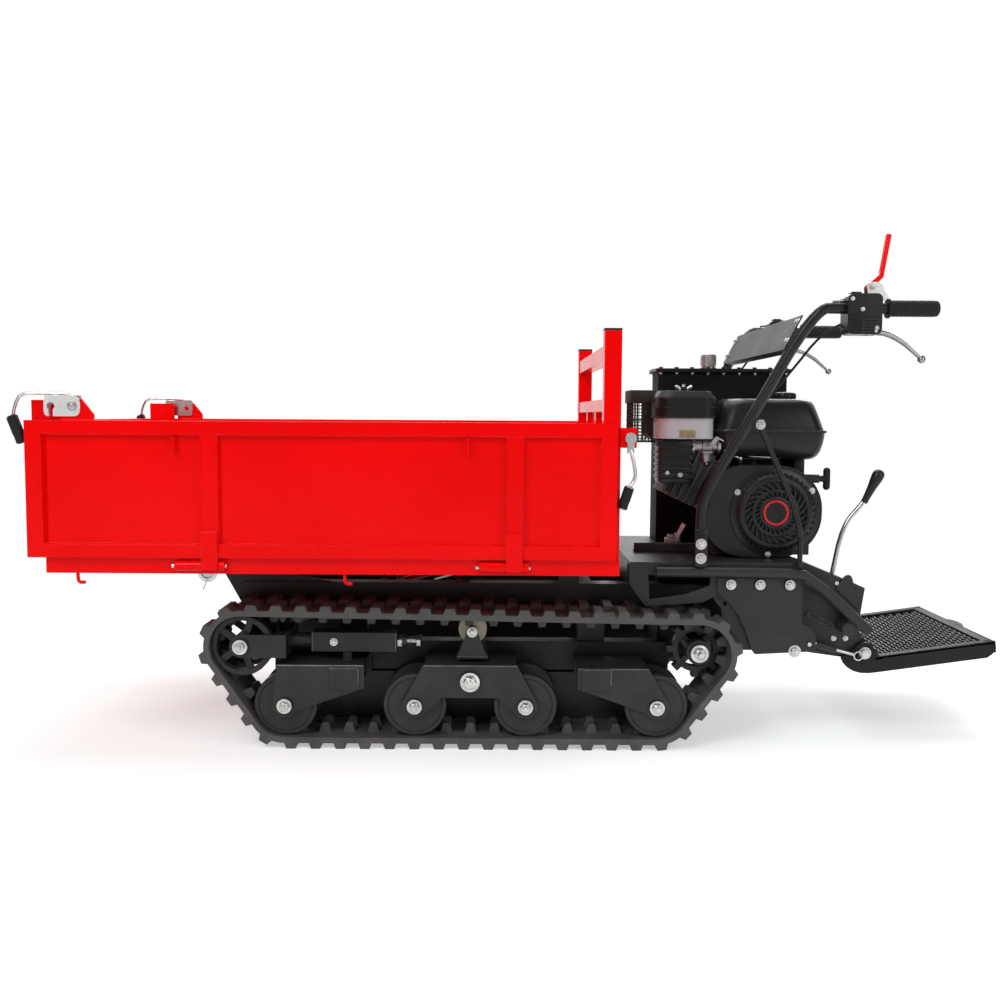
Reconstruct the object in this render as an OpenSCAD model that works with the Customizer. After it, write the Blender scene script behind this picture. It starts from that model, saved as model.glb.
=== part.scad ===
// Tracked power carrier: two rubber tracks, a tipping drop-side bed, an engine and a riding step.
// +X points to the operator, -X to the end the bed tips over, +Z is up, Z = 0 is the ground.
// The left side is -Y. Sizes are in millimetres.

/* [Tracks] */
// Distance of each track's middle from the machine's middle
track_y = 257; // [252:1:275]
// Width of the rubber belt
track_w = 180; // [172:2:184]
// Thickness of the belt between its lugs
belt_t = 14; // [11:1:17]
// Height of the ground lugs
lug_h = 14; // [9:1:18]
// Number of links round each belt
links = 48; // [44:2:50]
// Height of the guide lugs inside the belt
guide_h = 22; // [16:1:24]
// Diameter of the road rollers
roller_d = 154; // [144:1:158]
// Diameter of the front idlers
idler_d = 149; // [140:1:154]
// Diameter over the sprocket arms
sprocket_d = 147; // [140:1:152]
// Number of arms on the sprocket
sprocket_arms = 8; // [6:1:9]
// Diameter of the carrier rollers
carrier_d = 70; // [60:1:76]
// Distance between the two rollers of a bogie
bogie_span = 270; // [240:2:280]
// Thickness of the roller bracket plates
plate_t = 6; // [5:1:8]

/* [Bed] */
// Length of the bed floor
bed_l = 1328; // [1260:4:1340]
// Width of the bed floor
bed_w = 880; // [840:4:900]
// Height of the floor's top above the ground
floor_z = 480; // [480:1:490]
// Height of the floor's edge frame
floor_h = 37; // [30:1:37]
// Height of the gates
gate_h = 315; // [280:5:340]
// Thickness of the gate frames
gate_t = 30; // [26:1:34]
// Height of the gates' top and bottom rails
rail_h = 32; // [26:1:40]
// Height of the headboard posts above the floor
post_h = 529; // [480:5:560]
// Width of the headboard posts
post_w = 40; // [36:1:44]
// Height of the headboard's panel above the floor
panel_h = 372; // [340:4:400]

/* [Engine] */
// Radius of the recoil starter's cover
recoil_r = 89; // [80:1:94]
// Width of the fan housing
fan_w = 303; // [280:1:310]
// Length of the fuel tank
fuel_l = 287; // [270:1:296]
// Length of the hydraulic tank
oil_l = 380; // [340:4:390]

/* [Handlebar] */
// Diameter of the handlebar tubes
bar_d = 26; // [22:1:28]
// Length of the grips
grip_l = 121; // [110:1:126]
// Diameter of the grips
grip_d = 36; // [32:1:40]

/* [Riding step] */
// Width of the step
step_w = 490; // [440:2:500]
// Length of the step behind its hinge
step_l = 330; // [300:2:350]
// Depth of the step's side flanges
step_flange = 36; // [28:1:40]

/* [Fits] */
// Gap between a wheel and the belt
wheel_gap = 0.5; // [0.3:0.1:1.5]
// Running clearance of a shaft in its bore
fit = 0.06; // [0.03:0.01:0.1]
// Gap between flat faces that move past each other
side_gap = 0.5; // [0.4:0.1:1]

/* [Hidden] */
$fn = 64;
bond = 2;

// Paint colours
paint_red = "#c8141b";
powder_black = "#232527";
zinc = "#c3c6c9";
chrome = "#d9dcdf";
rubber_black = "#1b1b1c";
cast_grey = "#6d7073";
nylon_cream = "#d8cfb4";
bowl_amber = "#b9b19a";
muffler_grey = "#4a4440";

// Wheel radii and places in the left track's plane
roller_r = roller_d / 2;
idler_r = idler_d / 2;
sprocket_r = sprocket_d / 2;
carrier_r = carrier_d / 2;
roller_z = lug_h + belt_t + wheel_gap + roller_r;
front_roller = [-581, roller_z];
rear_roller = [325, roller_z];
idler_spot = [-687, 250];
sprocket_spot = [429, 236];
bogie_spot = [-130, 168];
carrier_x = -126;

// The belt's loop runs round these circles: place across, height and radius
loop = [
    [front_roller[0], front_roller[1], roller_r + wheel_gap],
    [rear_roller[0], rear_roller[1], roller_r + wheel_gap],
    [sprocket_spot[0], sprocket_spot[1], sprocket_r + wheel_gap],
    [idler_spot[0], idler_spot[1], idler_r + wheel_gap]];
hubs = len(loop);
function bogie_roller(s) = [bogie_spot[0] + s * bogie_span / 2, roller_z];
function after(i) = (i + 1) % hubs;
function before(i) = (i + hubs - 1) % hubs;
function heading(a) = [cos(a), sin(a)];
function hub(i) = [loop[i][0], loop[i][1]];
function hub_step(i) = hub(after(i)) - hub(i);
function lean(i) = asin((loop[i][2] - loop[after(i)][2]) / norm(hub_step(i)));
function run_angle(i) = atan2(hub_step(i)[1], hub_step(i)[0]) - 90 + lean(i);
function run_length(i) = norm(hub_step(i)) * cos(lean(i));
function turn(i) = (run_angle(i) - run_angle(before(i)) + 720) % 360;
function pitch_r(i) = loop[i][2] + belt_t / 2;
function bend_length(i) = pitch_r(i) * turn(i) * PI / 180;
function lap(i = 0) = i == hubs ? 0 : run_length(i) + bend_length(i) + lap(i + 1);
function bend_spot(i, a) = concat(hub(i) + pitch_r(i) * heading(a), a, pitch_r(i));
function run_spot(i, s) = concat(hub(i) + pitch_r(i) * heading(run_angle(i))
    + s * heading(run_angle(i) + 90), run_angle(i), 0);
function on_bend(s, i) = s < bend_length(i)
    ? bend_spot(i, run_angle(before(i)) + s / pitch_r(i) * 180 / PI)
    : belt_spot(s - bend_length(i), i);
function belt_spot(s, i = 0) = s < run_length(i) ? run_spot(i, s) : on_bend(s - run_length(i), after(i));
link_pitch = lap() / links;
function tip_drop(r, h, w) = r == 0 ? 0 : r + h - sqrt((r + h) * (r + h) - w * w / 4);
bend_step = 6;

// Height of the belt's inner face over the carrier roller
top_normal = heading(run_angle(2));
top_start = hub(2) + loop[2][2] * top_normal;
carrier_top = top_start[1] - (carrier_x - top_start[0]) * top_normal[0] / top_normal[1];
carrier_spot = [carrier_x, carrier_top - wheel_gap - carrier_r];

// Widths across a track, measured from its middle
guide_in = 20;
guide_out = 38;
disc_in = 44;
disc_out = 72;
plate_in = 76;
plate_out = plate_in + plate_t;
hub_half = plate_in - side_gap;
beam_in = track_w / 2 + bond;
beam_w = 50;
axle_r = 10;
pivot_r = 14;
shaft_r = 14;
nut_h = 9;
ring_r = 57;
ring_wall = 13;
arm_half = 14;
arm_w = 16;
spoke_w = 14;
sprocket_hub_r = 30;
sprocket_hub_in = 56;
sprocket_hub_l = 116;
sprocket_nut_r = 18;
sprocket_nut_h = 12;
nut_r = 15;
carrier_half = 16;
tension_r = 19;
tension_half = 24;
tension_x0 = -523;
tension_x1 = -317;
tension_screw_r = 9;
tension_screw_l = 62;
tension_nut_r = 16;
yoke_half = 28;
idler_rim = 13;
idler_spokes = 5;
idler_spoke_w = 16;
idler_spoke_t = 10;
bogie_top_half = 115;
bogie_low_half = 68;
bogie_z0 = 126;
bogie_z1 = 206;
carrier_hub = 41;
carrier_plate = 42;
carrier_axle_r = 6;
carrier_plate_t = 4;
carrier_foot = 38;
carrier_foot_z = 214;
carrier_eye_r = 12;

// Chassis
belt_room = 12;
main_w = 50;
main_y1 = track_y - track_w / 2 - belt_room;
main_y0 = main_y1 - main_w;
main_z0 = 290;
main_z1 = 380;
main_x0 = -720;
main_x1 = 640;
beam_x0 = -640;
beam_x1 = 378;
beam_z0 = 150;
beam_z1 = 230;
cross_front_x = -437;
cross_rear_x = 178;
cross_w = 70;
cross_z0 = 146;
cross_z1 = 198;
tie_l = 50;
tie_xs = [-280, 130];
tie_front_l = 30;
rest_x = 95;
front_bracket_z = 205;
rear_bracket_z = 200;
bracket_low_z = 149;
boss_r = 30;
deck_z = 455;
deck_t = 8;
deck_x0 = 260;
deck_x1 = 690;
step_room = 35;
panel_y = step_w / 2 + step_room;
panel_t = 6;
panel_out = panel_y + panel_t;
panel_edge = [[deck_x1, 395], [500, 385], [440, 355], [deck_x0 + 40, 345], [deck_x0, 400]];
panel_window = [[306, 424], [460, 424], [458, 398], [400, 376], [310, 363]];
deck_well = [380, -60];
deck_well_l = 180;
deck_well_w = 160;
side_plate_t = 6;
side_plate_z = 418;
side_plate_heel = 306;
side_plate_x1 = deck_x1 - 4;
side_plate_edge = [[712, 290], [722, 276], [722, 236], [572, 228], [562, 240], [552, 275],
    [529, 326], [507, 354], [481, 376], [476, 390], [476, side_plate_z]];
side_bolt_xs = [508, 580, 653];
side_bolt_z = 402;
side_bolt_r = 9;
side_bolt_h = 6;
gearbox_l = 200;
gearbox_h = 230;
gearbox_front = 70;
gearbox_drop = 64;
gearbox_corner = 24;
gearbox_half = main_y0 - 15;
gearbox_flange_r = 60;
gearbox_flange_half = main_y0 - 3;
gearbox_mount = 40;
axle_tube_r = 29;
axle_tube_gap = 64;

// Bed and its tipping pivot
bed_x1 = 218;
bed_x0 = bed_x1 - bed_l;
floor_z0 = floor_z - floor_h;
floor_edge = 40;
floor_sheet = 3;
floor_rib_xs = [-560, -200, 120];
floor_rib_w = 40;
load_sheet = 1;
tip_spot = [-764, 432];
tip_r = 12;
tip_y = 345;
ear_y = 322;
ear_t = 16;
gate_z0 = floor_z + load_sheet;
gate_z1 = gate_z0 + gate_h;
gate_in = bed_w / 2 - 14;
gate_out = gate_in + gate_t;
gate_x0 = -1146;
gate_x1 = 208;
stile_w = 38;
gate_sheet = 2;
rope_hook_r = 4;
rope_hook_l = 39;
rope_hook_drop = 74;
hinge_z = floor_z - 17;
hinge_drop = 5;
gate_hinge_y = gate_out - hinge_drop - 1;
knuckle_r = 8.5;
knuckle_l = 38;
pin_r = 5;
barrel_r = 12;
barrel_l = 62;
collar_l = 14;
pin_reach = knuckle_l / 2 + side_gap + barrel_l + 8;
front_pin_reach = knuckle_l / 2 + side_gap + 26;
function barrel_spans(x) = [[x - knuckle_l / 2 - side_gap - barrel_l, x - knuckle_l / 2 - side_gap],
    [x + knuckle_l / 2 + side_gap, x + knuckle_l / 2 + side_gap + collar_l]];
bar_t = 8;
bar_top = 62;
hinge_xs = [-726, -26];
rope_xs = [-807, -133];
front_in = bed_x0 - 1;
front_out = front_in - gate_t;
front_half = gate_in - 2;
front_hinge_x = front_out + hinge_drop;
front_hinge_ys = [-250, 250];
post_y = gate_in - 1 - post_w / 2;
post_x1 = bed_x1;
post_x0 = post_x1 - post_w;
post_z1 = floor_z + post_h;
post_wall = 3;
post_socket = 60;
panel_rail_h = 30;
panel_rib_y = 130;
top_rail_h = 35;
top_rail_drop = 33;

// Front latch on each side gate, and the pin it hooks over on the front gate
hook_spot = [gate_x0 + 111, gate_z1 + 32];
hook_pin_r = 6;
lock_spot = hook_spot - [49, 0];
latch_plate = [83, 48];
latch_plate_spot = [-65, -23];
latch_front_rod = [[-11, 27], [-75, 30], [-123, 28], [-137, 2], [-143, -32]];
latch_front_grip = [[-144, -28], [-141, -36], [-124, -80]];
latch_rear_rod = [[0, -26], [10, -66], [12, -92], [-4, -116]];
latch_rear_grip = [[-2, -112], [-18, -162]];
lock_r = 4.5;
hook_t = 5;
hook_y = gate_out - 18;
rear_latch_spot = [post_x1 + 22, floor_z + 282];
rear_latch_y = post_y + post_w / 2 + 15;
rear_latch_pin_r = 5;
rear_latch_t = 7.4;
latch_rod_r = 4;
latch_grip_r = 11;

// Lift cylinder
lift_base = [-650, 262];
lift_eye = [-164, 398];
lift_span = norm(lift_eye - lift_base);
lift_tilt = atan2(lift_eye[1] - lift_base[1], lift_eye[0] - lift_base[0]);
lift_barrel_r = 28;
lift_barrel_l = 330;
lift_neck_l = 48;
lift_gland_l = 26;
lift_rod_r = 16;
lift_pin_r = 9;
lift_eye_bore = 21;
lift_eye_r = 30;
lift_eye_half = 18;
lift_base_pin_r = 12;
lift_base_r = 24;
lift_cheek_y = 24;
lift_cheek_t = 8;
lift_cheek_r = 20;
lift_cheek_foot = 40;

// Handlebar, levers and step
bar_r = bar_d / 2;
grip_r = grip_d / 2;
rail_r = 13;
rail_z = 433;
rail_route = [[324, rail_z], [640, rail_z], [700, rail_z - 8], [849, 289]];
rear_tube_r = 16;
rear_tube_spot = [800, 292];
rail_y = panel_out + 0.3 + rail_r;
bar_foot_z = rail_z + rail_r + 0.3;
grip_z = 1068;
grip_x0 = 844;
grip_x1 = grip_x0 + grip_l;
bar_end_y = 360;
bar_foot_x = 430;
bar_knee_z = 560;
bar_bend = [bar_foot_x + 6, -rail_y - 2, 622];
bar_low = [538, -rail_y - 18, 802];
bar_high = [677, -bar_end_y, grip_z];
brace_top = bar_low + [7, 12.5, 10];
brace_x = 674;
brace_r = 6;
console_low_z = 964;
console_high_z = 1046;
console_gap = 0.3;
console_t = 3;
console_w = 690;
console_lip = 18;
console_lip_in = 40;
cable_r = 3;
cable_route = [[760, 328.6, 1040], [700, 326, 1008], [642, 318, 930], [566, 291, 830], [538, 287, 790],
    [470, 281, 665], [442, 280, 560], [442, 279, 456]];
pod_x0 = 745;
pod_x1 = 825;
steer_spot = [812, 1014];
drive_spot = [806, 1118];
shift_spot = [782, 400];
shift_y = -200;
shift_rim = [[-78, 50], [71, -12], [56, -118]];
shift_sheet = [[66, -15], [-79, 46]];
shift_foot = [52, -118];
shift_cheek = [-22, -30];
shift_rod = [[1.6, 8], [26, 140], [78, 198]];
shift_grip = [[76, 194], [104, 268]];
shift_rod_r = 6;
shift_grip_r = 13;
shift_hub_r = 11;
steer_rod = [[6, -2], [58, -22], [116, -58]];
steer_ball = [118, -61];
steer_rod_r = 5;
steer_ball_r = 10;
steer_hub_r = 9;
drive_hub_r = 11;
drive_half = 6;
drive_edge = [[-4, -8], [26, 22], [42, 120], [32, 122], [18, 30], [-6, 8]];
lever_pin_r = 4;
pod_half = 28;
pod_z0 = 1006;
pod_z1 = 1100;
shift_pin_r = 5;
console_half = 50;
step_spot = [858, 224];
step_slope = 8;
step_plate = [[-88, 76], [-28, 76], [16, 12], [12, -16], [-12, -16], [-88, 38]];
step_bars = 9;
step_cross = 28;
step_eye_r = 26;
step_pin_r = 8;
step_top = -19;
step_half = step_w / 2;
step_flange_t = 6;
step_plate_y = step_half - 17;
strut_spot = [705, 254.5];
strut_end = [838, 218];
strut_room = 13;
strut_y = -step_half - strut_room;
strut_half = 4;
strut_span = norm(strut_end - strut_spot);
strut_tilt = atan2(strut_end[1] - strut_spot[1], strut_end[0] - strut_spot[0]);
strut_pin_r = 5;
strut_eye_r = 12;
strut_eye_bore = 8.7;
strut_eye_pin_r = 4;
strut_tube_r = 8;
strut_tube_l = 80;
strut_rod_r = 4;

// Engine places
crank_spot = [635, 572];
block_x0 = 490;
block_x1 = 745;
block_y1 = 92;
block_z1 = 660;
case_r = 95;
case_y0 = 60;
case_y1 = 112;
crank_r = 13;
crank_l = 14;
head_spot = [500, 580];
head_tilt = 25;
head_front = 130;
head_back = 20;
head_y0 = -104;
head_w = 152;
head_low = 20;
head_high = 110;
fins = 7;
fin_pitch = 20;
fin_t = 6;
fin_rim = 12;
intake_l = 62;
intake_y0 = -100;
intake_w = 70;
intake_z0 = 680;
exhaust_spot = [392, 40];
exhaust_r = 12;
recoil_y = -215;
fan_y = -200;
fan_back_y = -128;
fan_wall = 4;
fan_z0 = deck_z + 2;
fan_z1 = 690;
fan_x0 = 452;
fan_corner = 110;
starter_z = 656;
starter_y = -164;
rope_r = 3;
rope_l = 150;
starter_grip_r = 9;
starter_grip_half = 20;
recoil_slots = 12;
cleaner_x0 = 342;
cleaner_y0 = -150;
cleaner_l = 154;
cleaner_w = 140;
cleaner_corner = 38;
cleaner_inset = 4;
cleaner_z0 = 755;
cleaner_seam_z = 809;
cleaner_edge_z = 862;
cleaner_top_z = 878;
cleaner_crown = 12;
muffler_x0 = 336;
muffler_l = 80;
muffler_y0 = 6;
muffler_w = 110;
muffler_z0 = 748;
muffler_h = 128;
muffler_corner = 30;
guard_x0 = 292;
guard_l = 132;
guard_y0 = -4;
guard_w = 130;
guard_z0 = 742;
guard_z1 = 882;
guard_wire = 3;
guard_bars = 7;
guard_side_bars = 6;
guard_rows = [742, 800, 850];
fuel_x0 = 498;
fuel_y0 = -150;
fuel_w = 258;
fuel_z0 = 702;
fuel_flange_z = 776;
fuel_top_z = 860;
fuel_cap_r = 30;
fuel_cap_h = 22;
fuel_leg_y = -90;
fuel_leg_w = 130;
oil_x0 = 377;
oil_y0 = 128;
oil_w = 152;
oil_z1 = 940;
lid_t = 7;
filler_x = 537;
filler_y = 204;
filler_r = 21;
filler_h = 42;
filler_neck_r = 14;
lid_bolt_pitch = 44;
lid_bolt_r = 6;
lid_bolt_h = 5;

// Shapes that repeat
module along_y(y0, y1) {
    translate([0, y1, 0]) rotate([90, 0, 0]) linear_extrude(y1 - y0) children();
}
module along_z(z0, z1) {
    translate([0, 0, z0]) linear_extrude(z1 - z0) children();
}
module rod_y(r, spot, y0, y1) {
    translate([spot[0], y1, spot[1]]) rotate([90, 0, 0]) cylinder(r = r, h = y1 - y0);
}
module rod_x(r, spot, x0, x1) {
    translate([x0, spot[0], spot[1]]) rotate([0, 90, 0]) cylinder(r = r, h = x1 - x0);
}
module rod_z(r, spot, z0, z1) {
    translate([spot[0], spot[1], z0]) cylinder(r = r, h = z1 - z0);
}
module hex_y(r, spot, y0, y1) {
    translate([spot[0], y1, spot[1]]) rotate([90, 0, 0]) cylinder(r = r, h = y1 - y0, $fn = 6);
}
module block(x0, x1, y0, y1, z0, z1) {
    translate([x0, y0, z0]) cube([x1 - x0, y1 - y0, z1 - z0]);
}
module both_sides() {
    children();
    mirror([0, 1, 0]) children();
}
module other_side() {
    mirror([0, 1, 0]) children();
}
module rounded(l, w, r) {
    translate([r, 0]) square([l - 2 * r, w]);
    translate([0, r]) square([l, w - 2 * r]);
    for (x = [r, l - r], y = [r, w - r]) translate([x, y]) circle(r);
}

// A round bar along a smoothed route, with rings square to the route
function cut_corners(p) = concat([p[0]],
    [for (i = [0 : len(p) - 2]) each [p[i] * 0.75 + p[i + 1] * 0.25, p[i] * 0.25 + p[i + 1] * 0.75]],
    [p[len(p) - 1]]);
function smooth(p, n = 2) = n == 0 ? p : smooth(cut_corners(p), n - 1);
function unit(v) = v / norm(v);
function course(p, i) = unit(p[min(i + 1, len(p) - 1)] - p[max(i - 1, 0)]);
function ring(p, i, r, sides, side) = let (t = course(p, i), u = unit(cross(t, side)), v = cross(u, t))
    [for (k = [0 : sides - 1]) p[i] + r * (cos(k * 360 / sides) * u + sin(k * 360 / sides) * v)];
module bent_bar(p, r, sides = 12, side = [0, 1, 0]) {
    n = len(p);
    points = [for (i = [0 : n - 1]) each ring(p, i, r, sides, side)];
    skin = [for (i = [0 : n - 2], k = [0 : sides - 1]) let (a = i * sides + k, b = i * sides + (k + 1)
        % sides)
        each [[a, b, b + sides], [a, b + sides, a + sides]]];
    start = [for (k = [1 : sides - 2]) [0, k + 1, k]];
    last = (n - 1) * sides;
    end = [for (k = [1 : sides - 2]) [last, last + k, last + k + 1]];
    polyhedron(points, concat(skin, start, end));
}

// Chassis
module hinge_gusset() {
    along_y(main_y1 - 15, main_y1 - 7) difference() {
        union() {
            translate(tip_spot) circle(22);
            polygon([tip_spot + [-18, 12], tip_spot + [-18, -12], [main_x0 + 10, main_z0],
                [main_x0 + 180, main_z0], [main_x0 + 230, main_z1], [main_x0 + 60, main_z1 + 30],
                tip_spot + [14, 18]]);
        }
        translate(tip_spot) circle(tip_r + fit);
    }
}
module engine_deck() {
    difference() {
        block(deck_x0, deck_x1, -panel_out, panel_out, deck_z - deck_t, deck_z);
        block(deck_well[0], deck_well[0] + deck_well_l, deck_well[1], deck_well[1] + deck_well_w,
            deck_z - deck_t - 1, deck_z + 1);
    }
    for (x = [deck_x0 + 10, main_x1 - 20])
        block(x, x + 12, -main_y1, main_y1, main_z1 - bond, deck_z - bond);
}
module side_panel() {
    along_y(-panel_out, -panel_y) difference() {
        polygon(concat([[deck_x0, deck_z - bond], [deck_x1, deck_z - bond]], panel_edge));
        polygon(panel_window);
    }
}
module chassis_frame() {
    color(powder_black) {
        both_sides() {
            block(main_x0, main_x1, -main_y1, -main_y0, main_z0, main_z1);
            hinge_gusset();
            side_panel();
            for (x = [cross_front_x, cross_rear_x])
                block(x - cross_w / 2, x + cross_w / 2, -main_y1, -main_y0 - 10, beam_z1, main_z0 + bond);
            difference() {
                block(main_x0 + 10, lift_base[0] + lift_base_r - 2, -lift_cheek_y - lift_cheek_t,
                    -lift_cheek_y,
                    lift_base[1] - lift_base_r, main_z0 + 10);
                rod_y(lift_base_pin_r + fit, lift_base, -lift_cheek_y - lift_cheek_t - 1, -lift_cheek_y + 1);
            }
            block(rest_x, rest_x + tie_l, -main_y1, -main_y0, main_z1 - bond, floor_z0 - side_gap);
        }
        block(main_x0, main_x0 + tie_front_l, -main_y0 - bond, main_y0 + bond, lift_base[1] - lift_base_r,
            main_z1 - 10);
        block(tie_xs[0], tie_xs[0] + tie_l, -main_y0 - bond, main_y0 + bond, main_z0, main_z0 + 40);
        block(tie_xs[1], tie_xs[1] + tie_l, -main_y0 - bond, main_y0 + bond, main_z0, main_z1);
        block(main_x1 - tie_front_l, main_x1, -main_y0 - bond, main_y0 + bond, main_z0, main_z1);
        engine_deck();
    }
}

// Undercarriage
module at_left() {
    translate([0, -track_y, 0]) children();
}
module bracket_plates(outline, bores) {
    for (y = [-plate_out, plate_in]) along_y(y, y + plate_t) difference() {
        union() {
            polygon(outline);
            for (b = bores) translate(b) circle(boss_r);
        }
        for (b = bores) translate(b) circle(axle_r + fit);
    }
}
module front_bracket() {
    x = front_roller[0];
    end = cross_front_x + cross_w / 2 + 14;
    bracket_plates([[x - boss_r + 1, roller_z + 8], [x - 20, front_bracket_z], [end, front_bracket_z],
        [end, bracket_low_z], [x + 26, roller_z - 15]], [front_roller]);
    block(x - 18, end - 4, -plate_out, plate_out, front_bracket_z - plate_t, front_bracket_z);
    block(cross_front_x - cross_w / 2, cross_front_x + cross_w / 2, -plate_out - 3, beam_in + bond,
        cross_z0, cross_z1);
}
module rear_bracket() {
    x = rear_roller[0];
    end = cross_rear_x - cross_w / 2 - 11;
    bracket_plates([[end, rear_bracket_z], [x - 20, rear_bracket_z], [x + boss_r - 1, roller_z + 8],
        [x - 26, roller_z - 15], [end, bracket_low_z]], [rear_roller]);
    block(end + 2, x - 22, -plate_out, plate_out, rear_bracket_z - plate_t, rear_bracket_z);
    block(cross_rear_x - cross_w / 2, cross_rear_x + cross_w / 2, -plate_out - 3, beam_in + bond,
        cross_z0, cross_z1);
}
module idler_yoke() {
    x = idler_spot[0];
    z = idler_spot[1];
    for (y = [-plate_out, plate_in]) along_y(y, y + plate_t) difference() {
        union() {
            translate(idler_spot) circle(yoke_half);
            translate([x, z - yoke_half]) square([idler_r + 35, 2 * yoke_half]);
        }
        translate(idler_spot) circle(axle_r + fit);
    }
    block(x + idler_r + 15, x + idler_r + 33, -plate_out, plate_out, z - yoke_half, z + yoke_half);
    rod_x(tension_r, [0, z], x + idler_r + 30, tension_x0 + bond);
    block(tension_x0, tension_x1, -tension_half, tension_half, z - tension_half, z + tension_half);
    rod_x(tension_screw_r, [0, z], tension_x1 - bond, tension_x1 + tension_screw_l);
    translate([tension_x1 + 12, 0, z]) rotate([0, 90, 0]) cylinder(r = tension_nut_r, h = 14, $fn = 6);
    block(cross_front_x - 10, cross_front_x + 10, -20, 20, front_bracket_z - bond, z);
}
module carrier_bracket() {
    foot_z = carrier_foot_z + plate_t;
    for (y = [-carrier_plate - carrier_plate_t, carrier_plate]) along_y(y, y + carrier_plate_t) difference() {
        union() {
            translate(carrier_spot) circle(carrier_eye_r);
            polygon([[carrier_x - carrier_foot, foot_z - 4], [carrier_x + carrier_foot, foot_z - 4],
                carrier_spot + [carrier_eye_r - 1, 4], carrier_spot + [1 - carrier_eye_r, 4]]);
        }
        translate(carrier_spot) circle(carrier_axle_r + fit);
    }
    block(carrier_x - carrier_foot, carrier_x + carrier_foot, -carrier_plate - carrier_plate_t,
        beam_in + bond,
        carrier_foot_z, foot_z);
}
module track_frame() {
    at_left() {
        front_bracket();
        rear_bracket();
        idler_yoke();
        carrier_bracket();
        difference() {
            block(beam_x0, beam_x1, beam_in, beam_in + beam_w, beam_z0, beam_z1);
            rod_y(pivot_r + fit, bogie_spot, beam_in - 1, beam_in + beam_w + 1);
        }
    }
}
module track_frames() {
    color(powder_black) both_sides() track_frame();
}
module loop_outline(grow) {
    polygon([for (i = [0 : hubs - 1]) let (a0 = run_angle(before(i)), n = ceil(turn(i) / bend_step))
        each [for (k = [0 : n]) hub(i) + (loop[i][2] + grow) / cos(k > 0 && k < n ? turn(i) / n / 2 : 0)
            * heading(a0 + k * turn(i) / n)]]);
}
module lug_row(shift, foot, tip, h0, h1, y0, y1) {
    along_y(y0, y1) for (k = [0 : links - 1])
        let (s = belt_spot((k + shift) * link_pitch), top = h1 - tip_drop(s[3], h1, tip))
            translate([s[0], s[1]]) rotate(s[2])
                polygon([[h0, -foot / 2], [top, -tip / 2], [top, tip / 2], [h0, foot / 2]]);
}
module track_belt() {
    half = belt_t / 2;
    at_left() {
        difference() {
            along_y(-track_w / 2, track_w / 2) loop_outline(belt_t);
            along_y(-track_w / 2 - 1, track_w / 2 + 1) loop_outline(0);
        }
        lug_row(0.25, 34, 22, half - bond, half + lug_h, -track_w / 2, -6);
        lug_row(0.75, 34, 22, half - bond, half + lug_h, 6, track_w / 2);
        lug_row(0.5, 30, 16, -half + bond, -half - guide_h, -guide_out, -guide_in);
        lug_row(0.5, 30, 16, -half + bond, -half - guide_h, guide_in, guide_out);
    }
}
module track_left() {
    color(rubber_black) track_belt();
}
module track_right() {
    color(rubber_black) other_side() track_belt();
}
module axle(spot, r) {
    rod_y(r, spot, -plate_out - nut_h + 1, plate_out + nut_h - 1);
    for (y = [-plate_out - nut_h, plate_out]) hex_y(nut_r, spot, y, y + nut_h);
}
module side_bolts() {
    at_left() {
        axle(front_roller, axle_r);
        axle(rear_roller, axle_r);
        axle(idler_spot, axle_r);
        rod_y(carrier_axle_r, carrier_spot, -carrier_plate - 10, carrier_plate + 10);
        rod_y(pivot_r, bogie_spot, -plate_out - 4, beam_in + beam_w);
        hex_y(pivot_r + 6, bogie_spot, -plate_out - 12, -plate_out - 2 * side_gap);
    }
    for (x = side_bolt_xs)
        hex_y(side_bolt_r, [x, side_bolt_z], -panel_out - side_plate_t - side_bolt_h,
            -panel_out - side_plate_t);
}
module axle_bolts() {
    color(zinc) {
        both_sides() side_bolts();
        rod_y(tip_r, tip_spot, -tip_y, tip_y);
        rod_y(lift_base_pin_r, lift_base, -lift_cheek_y - lift_cheek_t - 5, lift_cheek_y + lift_cheek_t + 5);
        rod_y(step_pin_r, step_spot, -step_half - 9, step_half + 9);
        rod_y(strut_pin_r, strut_spot, -panel_out - 12, strut_y + strut_half + 3);
        both_sides() rod_y(lever_pin_r, steer_spot, -bar_end_y - pod_half + 1, -bar_end_y + pod_half - 1);
        rod_y(lever_pin_r, drive_spot, -bar_end_y - 14, -bar_end_y + 14);
        rod_y(shift_pin_r, shift_spot, shift_y - console_half - 3, shift_y + console_half + 3);
    }
}
module gearbox() {
    color(cast_grey) difference() {
        union() {
            along_y(-gearbox_half, gearbox_half) translate(sprocket_spot - [gearbox_front, gearbox_drop])
                rounded(gearbox_l, gearbox_h, gearbox_corner);
            rod_y(axle_tube_r, sprocket_spot, -track_y + axle_tube_gap, track_y - axle_tube_gap);
            rod_y(gearbox_flange_r, sprocket_spot, -gearbox_flange_half, gearbox_flange_half);
            block(sprocket_spot[0] - gearbox_mount, sprocket_spot[0], -main_y0, main_y0,
                main_z1 - 10 - gearbox_mount,
                main_z1 - 10);
        }
        rod_y(shaft_r + fit, sprocket_spot, -track_y, track_y);
    }
}

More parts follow.
